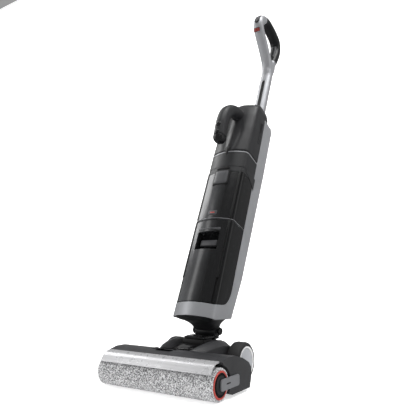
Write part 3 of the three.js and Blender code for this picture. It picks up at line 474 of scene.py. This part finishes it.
looks = {
    "dark_plastic": charcoal, "gloss_black": black, "silver_finish": silver, "steel": steel,
    "grey_plastic": grey, "wheel_grey": hub_grey, "white_plastic": white, "black_rubber": rubber,
    "red_plastic": red, "cell_wrap": wrap, "smoked_plastic": smoked_wall_painted_reflection, "smoked_gloss": smoked_panel_painted_reflection,
    "clear_plastic": clear_shield, "roller_pile": grey,
}
slots = {part["node"]: part["material_slot"] for part in frame["record"]["subparts"]}
for name in nodes:
    dress(name, looks.get(slots[name], black))
LIGHTER = ("head_top_cover", "end_block_right", "end_block_left", "axle_housing_right", "axle_housing_left")
for name in LIGHTER:
    nodes[name].data.materials[0] = graphite.material
print("dressed:", len(nodes))

# %% [markdown]
# ## The roller's pile
#
# The roller cover is a short, dense pile of mixed white and grey microfibre. Hair strands would be
# slow and would vanish at this distance, so the pile is a fine grid wrapped round the roller's axis
# whose points stand at slightly different heights, as tufts do. The colour speckle is in the finish:
# small cells, each white, grey or dark.

# %%
def pile_finish():
    g = Graph("speckled_pile")
    cell = g.cells(760.0, output="Color")
    pick = g.tree.nodes.new("ShaderNodeSeparateColor")
    g.join(cell, pick.inputs[0])
    chance = pick.outputs[0]
    pale = g.mix(g.remap(g.noise(900.0), 0.35, 0.65), (0.55, 0.55, 0.56, 1), (0.93, 0.93, 0.94, 1))
    middle = g.mix(g.remap(chance, 0.52, 0.60), (0.27, 0.27, 0.28, 1), pale)
    mixed = g.mix(g.remap(chance, 0.22, 0.28), (0.02, 0.02, 0.022, 1), middle)
    worn = g.mix(g.remap(g.noise(9.0, detail=2.0), 0.4, 0.7, 0.0, 0.16), mixed, (0.45, 0.45, 0.46, 1))
    g.set(Base_Color=worn, Roughness=g.remap(chance, 0.0, 1.0, 0.9, 0.75))
    g.set(Sheen_Weight=0.35, Sheen_Roughness=0.5)
    height = g.math("ADD", chance, g.noise(1500.0, detail=2.0))
    g.set(Normal=g.bump(height, 0.9, 0.5))
    return g


pile_look = pile_finish()


def roller_pile():
    low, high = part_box("roller_sleeve")
    centre = (low + high) / 2
    radius, half = (high.z - low.z) / 2, (high.x - low.x) / 2
    bore = radius - 8.2 * MM
    bm = bmesh.new()
    bmesh.ops.create_grid(bm, x_segments=330, y_segments=210, size=1.0)
    rim = 1.6 * MM
    for vert in bm.verts:
        across, turn = vert.co.x, vert.co.y * math.pi
        edge = half * (1 - abs(across))
        fall = 0.0 if edge > rim else rim - math.sqrt(max(0.0, rim ** 2 - (rim - edge) ** 2))
        spot = Vector((across * half * 1100, 24 * math.cos(turn), 24 * math.sin(turn)))
        tuft = 0.5 + 0.5 * noise.noise(spot) * 1.3 + 0.25 * noise.noise(spot * 0.21)
        reach = radius - fall - 0.85 * MM * min(1.0, max(0.0, tuft))
        vert.co = centre + Vector((across * half, reach * math.cos(turn), reach * math.sin(turn)))
    bmesh.ops.remove_doubles(bm, verts=bm.verts, dist=2e-5)
    rims = [edge for edge in bm.edges if edge.is_boundary]
    made = bmesh.ops.extrude_edge_only(bm, edges=rims)["geom"]
    for vert in (item for item in made if isinstance(item, bmesh.types.BMVert)):
        spoke = Vector((0, vert.co.y - centre.y, vert.co.z - centre.z))
        vert.co -= spoke.normalized() * (spoke.length - bore)
    obj = piece("roller_pile", mesh_from(bm, "roller_pile"), "roller", ["roller_sleeve"])
    obj.data.materials.append(pile_look.material)
    return obj


pile = roller_pile()
print("pile faces:", len(pile.data.polygons))

# %% [markdown]
# ## The roller's end
#
# The end that pulls out shows a thin red ring with fine notches round a dark bearing. The ring is a
# small profile spun about the roller's axis in an even number of steps, and every second step of its
# outer edge is pushed in to make the notches.

# %%
def ring_piece(name, profile, centre, body, look, replaces=(), steps=72, axis=(1, 0, 0), bevel=0.25):
    bm = spun(profile + profile[:1], centre, axis, steps)
    obj = piece(name, mesh_from(bm, name), body, replaces)
    obj.data.materials.append(look.material)
    if bevel:
        bevelled(obj, bevel, 2, 40)
    return obj


ring_low, ring_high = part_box("roller_end_ring")
ring_face = ring_high.x / MM
red_ring = ring_piece(
    "red_ring",
    [
        (ring_face - 1.3, 20.6), (ring_face - 1.3, 24.1), (ring_face - 0.2, 24.1), (ring_face, 23.2),
        (ring_face, 20.6),
    ],
    Vector((0, ROLLER.y, ROLLER.z)), "roller", red, ["roller_end_ring"], steps=120, bevel=0,
)
for vert in red_ring.data.vertices:
    spoke = Vector((0, vert.co.y - ROLLER.y * MM, vert.co.z - ROLLER.z * MM))
    step = round(math.degrees(math.atan2(spoke.z, spoke.y)) / 3)
    if step % 2 and spoke.length > 21.5 * MM:
        vert.co -= spoke.normalized() * 0.9 * MM
ring_piece(
    "bearing_collar",
    [
        (ring_face - 1.3, 17.2), (ring_face - 1.3, 20.4), (ring_face - 0.4, 20.4), (ring_face - 0.7, 18.6),
        (ring_face - 0.1, 17.8),
    ],
    Vector((0, ROLLER.y, ROLLER.z)), "roller", deep, steps=72,
)

# %% [markdown]
# ## Pull-out tab
#
# A grey slab with well rounded corners stands in front of the end block. It starts as a cube scaled
# to the CAD tab's box; its four long corner edges get a wide bevel and every edge a narrow one.

# %%
def slab(name, low, high, corner, edge, body, look, axis=0, replaces=(), steps=6):
    """A box from low to high, in metres, whose edges along one axis are widely rounded."""
    bm = bmesh.new()
    bmesh.ops.create_cube(bm, size=1.0)
    size = high - low
    bmesh.ops.scale(bm, vec=size, verts=bm.verts)
    bmesh.ops.translate(bm, vec=(low + high) / 2, verts=bm.verts)
    long_edges = [e for e in bm.edges if abs((e.verts[0].co - e.verts[1].co)[axis]) > 0.9 * size[axis]]
    bmesh.ops.bevel(
        bm, geom=long_edges, offset=corner * MM, segments=steps, profile=0.5, affect="EDGES", material=-1,
    )
    obj = piece(name, mesh_from(bm, name), body, replaces)
    obj.data.materials.append(look.material)
    return bevelled(obj, edge, 3, 40)


tab_low, tab_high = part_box("roller_latch_tab")
slab(
    "pull_tab", tab_low, tab_high, 5.0, 0.9, "roller_carrier", grey, 0, ["roller_latch_tab"],
)
mark_low = Vector((tab_high.x - 0.2 * MM, tab_low.y + 17 * MM, tab_low.z + 9.2 * MM))
mark_high = Vector((tab_high.x + 0.15 * MM, tab_low.y + 31 * MM, tab_low.z + 11.4 * MM))
slab("pull_tab_mark", mark_low, mark_high, 0.8, 0.05, "roller_carrier", deep)

# %% [markdown]
# ## Swept grips
#
# The pistol grip and the loop handle are both tubes of soft oval section that follow a path in the
# machine's middle plane. `sweep` samples a smooth curve through a few points and places a section
# across it at each sample, so the thickness can change along the way.

# %%
def smooth_path(points, samples):
    """Points at even steps of a curve that passes through all of the given ones."""
    padded = [points[0] * 2 - points[1], *points, points[-1] * 2 - points[-2]]
    spans = len(points) - 1
    path = []
    for k in range(samples + 1):
        at = min(k * spans / samples, spans - 1e-6)
        i, t = int(at), at - int(at)
        a, b, c, d = padded[i:i + 4]
        square, cube = 2 * a - 5 * b + 4 * c - d, 3 * b - a - 3 * c + d
        path.append(0.5 * (2 * b + (c - a) * t + square * t ** 2 + cube * t ** 3))
    return path


def soft_oval(angle, half_x, half_n, power=0.78):
    c, s = math.cos(angle), math.sin(angle)
    return half_x * math.copysign(abs(c) ** power, c), half_n * math.copysign(abs(s) ** power, s)


def sweep(points, size_at, samples=40, cuts=28, power=0.78):
    path = smooth_path([Vector((p[0], p[1])) for p in points], samples)
    rings = []
    for k, here in enumerate(path):
        ahead, behind = path[min(k + 1, samples)], path[max(k - 1, 0)]
        run = (ahead - behind).normalized()
        side = Vector((run.y, -run.x))
        half_x, half_n = size_at(k / samples)
        ring = []
        for cut in range(cuts):
            angle = math.tau * cut / cuts
            x, n = soft_oval(angle, half_x, half_n, power)
            spot = here + side * n
            ring.append(lean(x, spot.x, spot.y))
        rings.append(ring)
    return rings


def grip_piece(name, rings, body, look, replaces=(), subdivide=1):
    obj = piece(name, mesh_from(shell_of(rings), name), body, replaces)
    obj.data.materials.append(look.material)
    if subdivide:
        subdivided(obj, subdivide)
    return obj


# %% [markdown]
# ## The hand vacuum's grip
#
# It grows out of the top of the main unit, arches forwards and hangs down in front. Its end is a
# separate rounded cap. The two buttons on its front face are domed discs.

# %%
GRIP_PATH = [(18, 602), (50, 611), (81, 597), (98.5, 574), (103.5, 547), (102, 521), (99.6, 500)]


def pistol_size(t):
    root = max(0.0, 1 - t / 0.35)
    return 14.6 * (1 + 0.22 * root ** 2), 15.9 * (1 + 0.26 * root ** 2)


grip_piece(
    "pistol_grip_skin", sweep(GRIP_PATH, pistol_size, 44), "hand_vacuum", charcoal,
    ["pistol_grip"],
)
cap_low, cap_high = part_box("grip_cap")


def cap_size(t):
    return 15.0 * math.sqrt(max(0.02, 1 - 0.9 * t ** 2.4)), 16.3 * math.sqrt(max(0.02, 1 - 0.9 * t ** 2.4))


grip_piece(
    "grip_end_cap", sweep([(99.5, 499.2), (99, 491), (98.2, 482.5)], cap_size, 10), "hand_vacuum", black,
    ["grip_cap"],
)


def round_button(name, out, along, radius, rise, body, look, replaces=(), tilt=0.0):
    """A domed disc on a surface that faces out, or is turned by tilt degrees towards the top."""
    facing = (OUT * math.cos(math.radians(tilt)) + ALONG * math.sin(math.radians(tilt))).normalized()
    centre = lean(0, out, along) / MM
    profile = [
        (-3.0, 0.01), (-3.0, radius), (0.3 * rise, radius), (0.8 * rise, radius * 0.86), (rise, radius * 0.5),
        (rise, 0.01),
    ]
    obj = piece(name, mesh_from(spun(profile, centre, facing, 40), name), body, replaces)
    obj.data.materials.append(look.material)
    return obj


round_button("power_button_cap", 118.6, 527, 6.4, 1.5, "power_button", black, ["power_button"])
round_button("mode_button_cap", 117.4, 505.5, 5.0, 1.4, "mode_button", black, ["mode_button"])

# %% [markdown]
# ## The loop handle
#
# A silver nose rises out of the pole, reaches forwards and closes at the top against a glossy black
# grip, which comes back down behind it to the foot of the loop. Each of the three is one sweep.

# %%
POLE_OUT, POLE_TOP = -51.5, 841.0
LOOP_REACH, LOOP_HEIGHT, LOOP_BACK = 102.0, 162.0, 19.0


def loop_point(reach, height):
    return POLE_OUT + reach * (LOOP_REACH if reach > 0 else LOOP_BACK), POLE_TOP + height * LOOP_HEIGHT


NOSE = [
    loop_point(*p) for p in (
        (0, 0), (0.0, 0.05), (0.03, 0.13), (0.17, 0.28), (0.52, 0.455), (0.86, 0.605), (0.985, 0.7),
        (1, 0.81),
        (0.93, 0.89), (0.82, 0.945),
    )
]
BACK_OF_LOOP = [
    loop_point(*p) for p in (
        (0.815, 0.946), (0.66, 0.985), (0.4, 1.0), (0.14, 0.99), (-0.35, 0.95), (-0.95, 0.83), (-1, 0.68),
        (-0.72, 0.5), (-0.4, 0.37),
    )
]
FOOT = [loop_point(*p) for p in ((0, 0), (0, 0.04), (-0.15, 0.2), (-0.36, 0.34), (-0.5, 0.42))]


def nose_size(t):
    blend = min(t / 0.3, 1)
    return 16.8 - 1.9 * blend, 11.9 + 0.5 * blend


def back_size(t):
    return 14.8 + 0.8 * math.sin(math.pi * t), 12.2 + 0.9 * math.sin(math.pi * t)


grip_piece("loop_nose", sweep(NOSE, nose_size, 60), "body", silver, ["handle_shell"])
foot_rings = sweep(FOOT, lambda t: (16.7 - 1.9 * t, 11.8 + 0.5 * t), 16)
grip_piece("loop_foot", foot_rings, "body", silver)
grip_piece("loop_grip", sweep(BACK_OF_LOOP, back_size, 52), "body", satin, ["handle_grip"])
print("handle made")

# %% [markdown]
# ## Main unit
#
# The housing is a stack of sections that stay full width almost to the top and then close over a
# rounded crown. Its front is scooped out under the grip, to leave room for fingers, with a narrow
# raised spine down the middle of the scoop that ends in a point at the silver stripe.

# %%
UNIT_LOW, UNIT_HIGH = 487.8, 679.4
UNIT_STEPS = [
    (0, 0, 0, 0), (0.12, 0, 1, 0), (0.42, 0, 3, 0), (0.64, 1, 6, 0), (0.8, 2, 11, 1), (0.875, 5, 21, 4),
    (0.935, 8, 33, 7), (0.975, 13, 44, 9), (1, 22, 54, 9),
]


def between(table, t):
    for low, high in zip(table, table[1:]):
        if t <= high[0]:
            share = (t - low[0]) / (high[0] - low[0])
            return [a + (b - a) * share for a, b in zip(low[1:], high[1:])]
    return list(table[-1][1:])


def hump(distance, reach):
    """1 at no distance, falling smoothly to 0 at reach."""
    t = max(0.0, 1 - abs(distance) / reach)
    return t * t * (3 - 2 * t)


def unit_outline():
    front = [(43 * k / 12, 57 - 10 * (k / 12) ** 2) for k in range(13)]
    side = [
        (47.6, 44.6), (50.4, 39.8), (51.4, 33), (51.4, 20), (51.4, 6), (51.4, -10), (51.0, -24), (47, -34),
        (38, -37.6), (22, -38),
    ]
    right = front + side
    left = [(-x, u) for x, u in reversed(right[1:])]
    return right + left


def unit_ring(t):
    narrow, retreat, fall = between(UNIT_STEPS, t)
    along = UNIT_LOW + (UNIT_HIGH - UNIT_LOW) * t
    ring = []
    grown = min(1.0, max(0.0, (along - UNIT_LOW) / 62))
    fade = hump(max(0.0, along - 600), 55)
    for x, out in unit_outline():
        scoop = 6.5 * hump(x, 19 + 20 * grown) * grown ** 0.5 * fade
        rib = 4.2 * hump(x, 10 + 8 * grown) * fade * min(1.0, grown * 3)
        shape = (57 - retreat) / 57 if out > 0 else (38 - max(narrow - 6, 0)) / 38
        spot = out * shape - (scoop - rib if out > 30 else 0)
        ring.append(lean(x * (51.4 - narrow) / 51.4, spot, along - fall * abs(x) / 51.5))
    return ring


unit = piece(
    "unit_skin", mesh_from(shell_of([unit_ring(k / 40) for k in range(41)]), "unit_skin"), "hand_vacuum",
    ["unit_housing"],
)
unit.data.materials.append(charcoal.material)
subdivided(unit, 1)
print("unit faces:", len(unit.data.polygons))

# %% [markdown]
# ## Patches on the body's front
#
# The front of the body is gently bowed across. Buttons, labels and trims on it are small pads whose
# outline is a rectangle with round corners and whose thickness follows the bow. `patch` lays the same
# outline down several times, a little smaller each time, and bridges the copies.

# %%
def front_out(x):
    return 57 - 10 * (x / 43) ** 2


def round_outline(half_x, half_w, corner, cuts=6):
    corner = min(corner, half_x - 0.01, half_w - 0.01)
    centres = [(half_x - corner, half_w - corner), (corner - half_x, half_w - corner)]
    centres += [(-x, -w) for x, w in centres]
    outline = []
    for quarter, (x, w) in enumerate(centres):
        for cut in range(cuts + 1):
            angle = math.radians(90 * (quarter + cut / cuts))
            outline.append((x + corner * math.cos(angle), w + corner * math.sin(angle)))
    return outline


def patch(name, centre, half, corner, rise, body, look, replaces=(), surface=front_out, sink=1.2):
    """A pad at centre (across, along) that stands rise above the surface and sinks below it."""
    layers = [
        (1.0, 0, -sink), (1.0, 0, rise * 0.55), (1.0, 0.35, rise * 0.9), (1.0, 0.8, rise), (0.6, 0.8, rise),
        (0.15, 0.3, rise),
    ]
    rings = []
    for size, inset, height in layers:
        outline = round_outline(half[0] * size - inset * 0.6, half[1] * size - inset * 0.6, corner * size)
        spots = [(centre[0] + x, centre[1] + w) for x, w in outline]
        rings.append([lean(x, surface(x) + height, w) for x, w in spots])
    obj = piece(name, mesh_from(shell_of(rings), name), body, replaces)
    obj.data.materials.append(look.material)
    return obj


# %% [markdown]
# ## Tank buttons, label and rails
#
# The upper tank's release is a square pad in a dark surround, with a narrow catch above it. A small
# grey label with a red dash sits low on the same panel. Matt dark rails run down both sides.

# %%
patch("release_surround", (0, 411), (20.9, 20.7), 5.6, 1.0, "used_tank", deep)
patch(
    "release_pad", (0, 411), (17.9, 17.7), 4.4, 1.9, "tank_button", ash, ["tank_button"],
    sink=3,
)
patch("release_catch", (0, 437.6), (17.5, 3.6), 2.2, 1.5, "used_tank", deep)
patch("tank_label", (0, 313), (11.5, 5.6), 2.6, 1.0, "used_tank", ash)
patch("tank_label_dash", (0, 313), (6.4, 1.25), 1.1, 1.3, "used_tank", red)


def flank(x):
    return front_out(43.0) - 0.35 * (abs(x) - 43)


for mark, side in (("left", -1), ("right", 1)):
    for tank, low, high in (("clean_tank", 157, 296), ("used_tank", 300.5, 432)):
        centre, half = (low + high) / 2, (high - low) / 2
        patch(
            f"{tank}_rail_{mark}", (44.2 * side, centre), (2.2, half), 1.6, 1.1, tank, deep,
            surface=flank,
        )


def seam_band(name, along, tall, proud, body, look):
    """A thin raised line round the front and sides of the body."""
    points = [(x, out) for x, out in unit_outline() if out > -18]
    points.sort(key=lambda p: math.atan2(p[0], p[1] + 20))
    rings = []
    for x, out in points:
        away = Vector((x / 51.4, max(out, 0.0) / 57)).normalized()
        near = (x - away.x * 1.0, out - away.y * 1.0)
        far = (x + away.x * proud, out + away.y * proud)
        edge = tall * 0.6
        rings.append([
            lean(*near, along - tall), lean(*far, along - edge), lean(*far, along + edge),
            lean(*near, along + tall),
        ])
    obj = piece(name, mesh_from(shell_of(rings), name), body)
    obj.data.materials.append(look.material)
    return obj


seam_band("tank_seam", 298.6, 0.45, 0.25, "used_tank", silver)

# %% [markdown]
# ## Finger recess
#
# The lower tank is drawn out by a hooked finger. Inside the recess a grey block, rounded at its front
# edges, is the part that the finger pulls on.

# %%
def pull_block():
    rings = []
    for reach, shrink in ((30.4, 0), (42.0, 0), (44.4, 0.7), (45.1, 2.0)):
        outline = round_outline(21.9 - shrink, 7.6 - shrink, 2.6)
        rings.append([lean(x, reach, 241.2 + w) for x, w in outline])
    mesh = mesh_from(shell_of(rings), "pull_block")
    obj = piece("pull_block", mesh, "clean_tank", ["clean_tank_latch"])
    obj.data.materials.append(ash.material)
    return obj


pull_block()
patch("handle_lip", (0, 272), (29, 3.2), 2.6, 0.9, "clean_tank", ash)

# %% [markdown]
# ## Details of the main unit
#
# The raised spine in the scoop ends in a dark tip that breaks the silver stripe. A long vent slot is
# let into the side, near the back edge.

# %%
def stripe_tip():
    rings = []
    steps = [(505, 9.5, -2.5), (500, 9.3, 0.4), (492, 8.2, 0.9), (484, 5.2, 0.7), (477.5, 1.2, 0.2)]
    for along, half, rise in steps:
        rings.append([
            lean(-half, front_out(half) - 1.4, along), lean(-half * 0.6, front_out(0) + rise * 0.8, along),
            lean(0, front_out(0) + rise, along), lean(half * 0.6, front_out(0) + rise * 0.8, along),
            lean(half, front_out(half) - 1.4, along), lean(0, front_out(0) - 3.0, along),
        ])
    obj = piece("stripe_tip", mesh_from(shell_of(rings), "stripe_tip"), "hand_vacuum")
    obj.data.materials.append(deep.material)
    return subdivided(obj, 1)


def side_vent(name, side):
    rings = []
    for inset, reach in ((0, 50.6), (0, 51.6), (0.7, 51.9), (1.3, 51.2)):
        outline = round_outline(3.9 - inset, 33 - inset, 3.2)
        rings.append([lean(side * reach, 3.5 + u, 574 + w) for u, w in outline])
    obj = piece(name, mesh_from(shell_of(rings), name), "hand_vacuum")
    obj.data.materials.append(deep.material)
    return obj


ARCH = [
    (33, 442.5), (33, 434.5), (18, 430), (6, 425), (-4, 419), (-10, 414), (-14.5, 409), (-14.5, 442.5),
]


def arch_cheek(name, side):
    rings = []
    for inset, reach in ((0, 50.9), (0, 51.7), (0.4, 52.0)):
        lifted = [(out - inset * 0.5, along + (inset if along < 442 else 0)) for out, along in ARCH]
        rings.append([lean(side * reach, out, along) for out, along in lifted])
    obj = piece(name, mesh_from(shell_of(rings), name, smooth=False), "body")
    obj.data.materials.append(charcoal.material)
    return obj


arch_cheek("arch_cheek_right", 1)
arch_cheek("arch_cheek_left", -1)
stripe_tip()
side_vent("side_vent_right", 1)
side_vent("side_vent_left", -1)

# %% [markdown]
# ## Details of the handle
#
# The nose carries a long dark button on top and, below it, a small dark window with a red line. A web
# fills the fork between the nose and the foot. The pole's inlay is a long dark bar with round ends.

# %%
def nose_pad(name, centre, half, corner, tilt, rise, look, body="body", replaces=()):
    """A rounded pad on a face whose normal is turned by tilt degrees from the front towards the top."""
    turn = math.radians(tilt)
    facing = (math.cos(turn), math.sin(turn))
    up = (-facing[1], facing[0])
    rings = []
    for shrink, height in ((0, -2.0), (0, rise * 0.5), (0.4, rise), (half[0] * 0.6, rise)):
        outline = round_outline(half[0] - shrink, half[1] - shrink, corner)
        out, along = centre[0] + facing[0] * height, centre[1] + facing[1] * height
        rings.append([lean(x, out + up[0] * n, along + up[1] * n) for x, n in outline])
    obj = piece(name, mesh_from(shell_of(rings), name), body, replaces)
    obj.data.materials.append(look.material)
    return obj


BUTTON_PATH = [(62.4, 952), (63.2, 963), (61.8, 975), (57.0, 986), (49.0, 995)]


def pad_size(half, thick, power):
    """Half width and thickness along a pad whose two ends are rounded."""
    return lambda t: (half * math.sqrt(max(0.05, 1 - abs(2 * t - 1) ** power)), thick)


button_rings = sweep(BUTTON_PATH, pad_size(8.0, 1.5, 5), 20)
grip_piece("handle_button", button_rings, "clean_button", deep, ["clean_button"])
BUTTON_DISH = [(63.4, 957), (64.0, 966), (62.6, 976), (59.4, 983)]
dish_rings = sweep(BUTTON_DISH, pad_size(4.6, 1.2, 4), 14)
grip_piece("handle_button_dish", dish_rings, "clean_button", ash)
nose_pad("handle_window", (53.9, 932.4), (9.2, 5.6), 2.0, -30, 0.8, black)
nose_pad("handle_window_line", (53.6, 931.6), (9.4, 0.7), 0.5, -30, 0.9, red)


def web_size(t):
    swell = math.sqrt(max(0.02, 1 - max(0.0, (t - 0.72) / 0.28) ** 2))
    return (16.2 - 1.5 * t) * (0.35 + 0.65 * swell), (12 + 12 * min(1.0, t / 0.75)) * swell


nose_pad("grip_inner_face", (-56.2, 952.0), (8.6, 25.0), 3.0, 0, 0.8, ash)
nose_pad("grip_inner_slot", (-55.6, 950.0), (2.6, 20.0), 2.2, 0, 0.9, deep)
WEB = [loop_point(*p) for p in ((0, 0.02), (-0.02, 0.12), (-0.04, 0.25), (0.0, 0.4))]
grip_piece("handle_web", sweep(WEB, web_size, 22), "body", silver)


def inlay_bar():
    rings = []
    for shrink, height in ((0, 8.0), (0, 12.0), (0.5, 12.4), (1.2, 12.1)):
        outline = round_outline(5.1 - shrink, 53 - shrink, 4.8)
        rings.append([lean(x, POLE_OUT + height, 763.5 + w) for x, w in outline])
    obj = piece("inlay_bar", mesh_from(shell_of(rings), "inlay_bar"), "body", ["pole_inlay"])
    obj.data.materials.append(deep.material)
    return obj


inlay_bar()

# %% [markdown]
# ## The neck
#
# A hollow knuckle turns about the recline pin between two cheeks, and a short pleated boot keeps
# water off the hose below it. The knuckle is round about the pin, so tilting the body never opens a
# gap.

# %%
FUNNEL = [
    (80, 47.6, 52.5, -33, 1.0, 0.45), (70.2, 47.6, 52.5, -33, 1.0, 0.45), (69.0, 46.4, 50.8, -33, 1.0, 0.46),
    (66.8, 41.5, 43, -33.5, 0.95, 0.5), (65.0, 35.5, 30, -34.5, 0.8, 0.56), (63.2, 31, 16, -36, 0.6, 0.62),
    (61.2, 28.3, 1, -37, 0.25, 0.7), (59.8, 27.6, -8, -37.5, 0.05, 0.76),
    (58.9, 26.6, -13.5, -37.5, 0.0, 0.8),
]


def funnel_ring(step, cuts=40):
    along, half_x, front, back, slope, power = step
    ring = []
    for cut in range(cuts):
        x, n = soft_oval(math.tau * cut / cuts, half_x, (front - back) / 2, power)
        out = (front + back) / 2 + n
        ring.append(lean(x, out, along + slope * 0.364 * max(0.0, 33 - out)))
    return ring


funnel_mesh = mesh_from(shell_of([funnel_ring(step) for step in FUNNEL]), "funnel_skin")
funnel = piece("funnel_skin", funnel_mesh, "body", ["neck_funnel"])
funnel.data.materials.append(charcoal.material)
subdivided(funnel, 1)
knuckle_profile = [(-25.5, 0.01), (-25.5, 12.8), (-24.5, 13.8), (24.5, 13.8), (25.5, 12.8), (25.5, 0.01)]
knuckle_mesh = mesh_from(spun(knuckle_profile, PIN, (1, 0, 0), 48), "knuckle")
knuckle = piece("knuckle", knuckle_mesh, "body")
knuckle.data.materials.append(charcoal.material)
boot_profile = [(0, 11.5), (0, 21.0)]
for pleat in range(5):
    boot_profile += [(2.0 + 4.0 * pleat, 22.4 - 1.3 * pleat), (4.0 + 4.0 * pleat, 20.2 - 1.3 * pleat)]
boot_profile += [(22.4, 12.6), (22.4, 11.5)]
boot_bm = spun(boot_profile + boot_profile[:1], Vector((0, PIN.y, 60.0)), (0, 0, 1), 56)
boot = piece("neck_boot", mesh_from(boot_bm, "neck_boot"), "neck")
boot.data.materials.append(rubber.material)


def level_pad(name, centre, half, corner, low, high, body, look, slope=0.0):
    """A pad that lies flat, or slopes down towards the front by slope millimetres per millimetre."""
    rings = []
    for shrink, height in ((0, low), (0, high - 0.6), (0.5, high - 0.1), (1.4, high), (half[0] * 0.7, high)):
        outline = round_outline(half[0] - shrink, half[1] - shrink, corner)
        rings.append([Vector((centre[0] + x, centre[1] + y, height + slope * y)) * MM for x, y in outline])
    obj = piece(name, mesh_from(shell_of(rings), name), body)
    obj.data.materials.append(look.material)
    return obj


level_pad("hood_plate", (0, -141.5), (25.0, 17.5), 12.0, 87.6, 89.4, "neck", black)
level_pad("channel_bed", (0, -188.0), (27.6, 27.0), 4.0, 58.0, 69.5, "head", deep, 0.2)
level_pad("channel_plate", (3.0, -190.0), (19.0, 13.0), 9.0, 68.5, 72.8, "head", black, 0.2)
level_pad("shoulder_slot", (-44.0, -233.0), (4.6, 8.5), 3.5, 66.0, 72.4, "head", black)
level_pad("shoulder_line", (-13.0, -236.5), (19.0, 0.8), 0.6, 66.0, 72.0, "head", silver)
level_pad("channel_step", (0, -147.0), (27.2, 17.0), 3.0, 58.0, 83.6, "head", deep)
print("neck and channel made")

# %%
low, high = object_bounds()
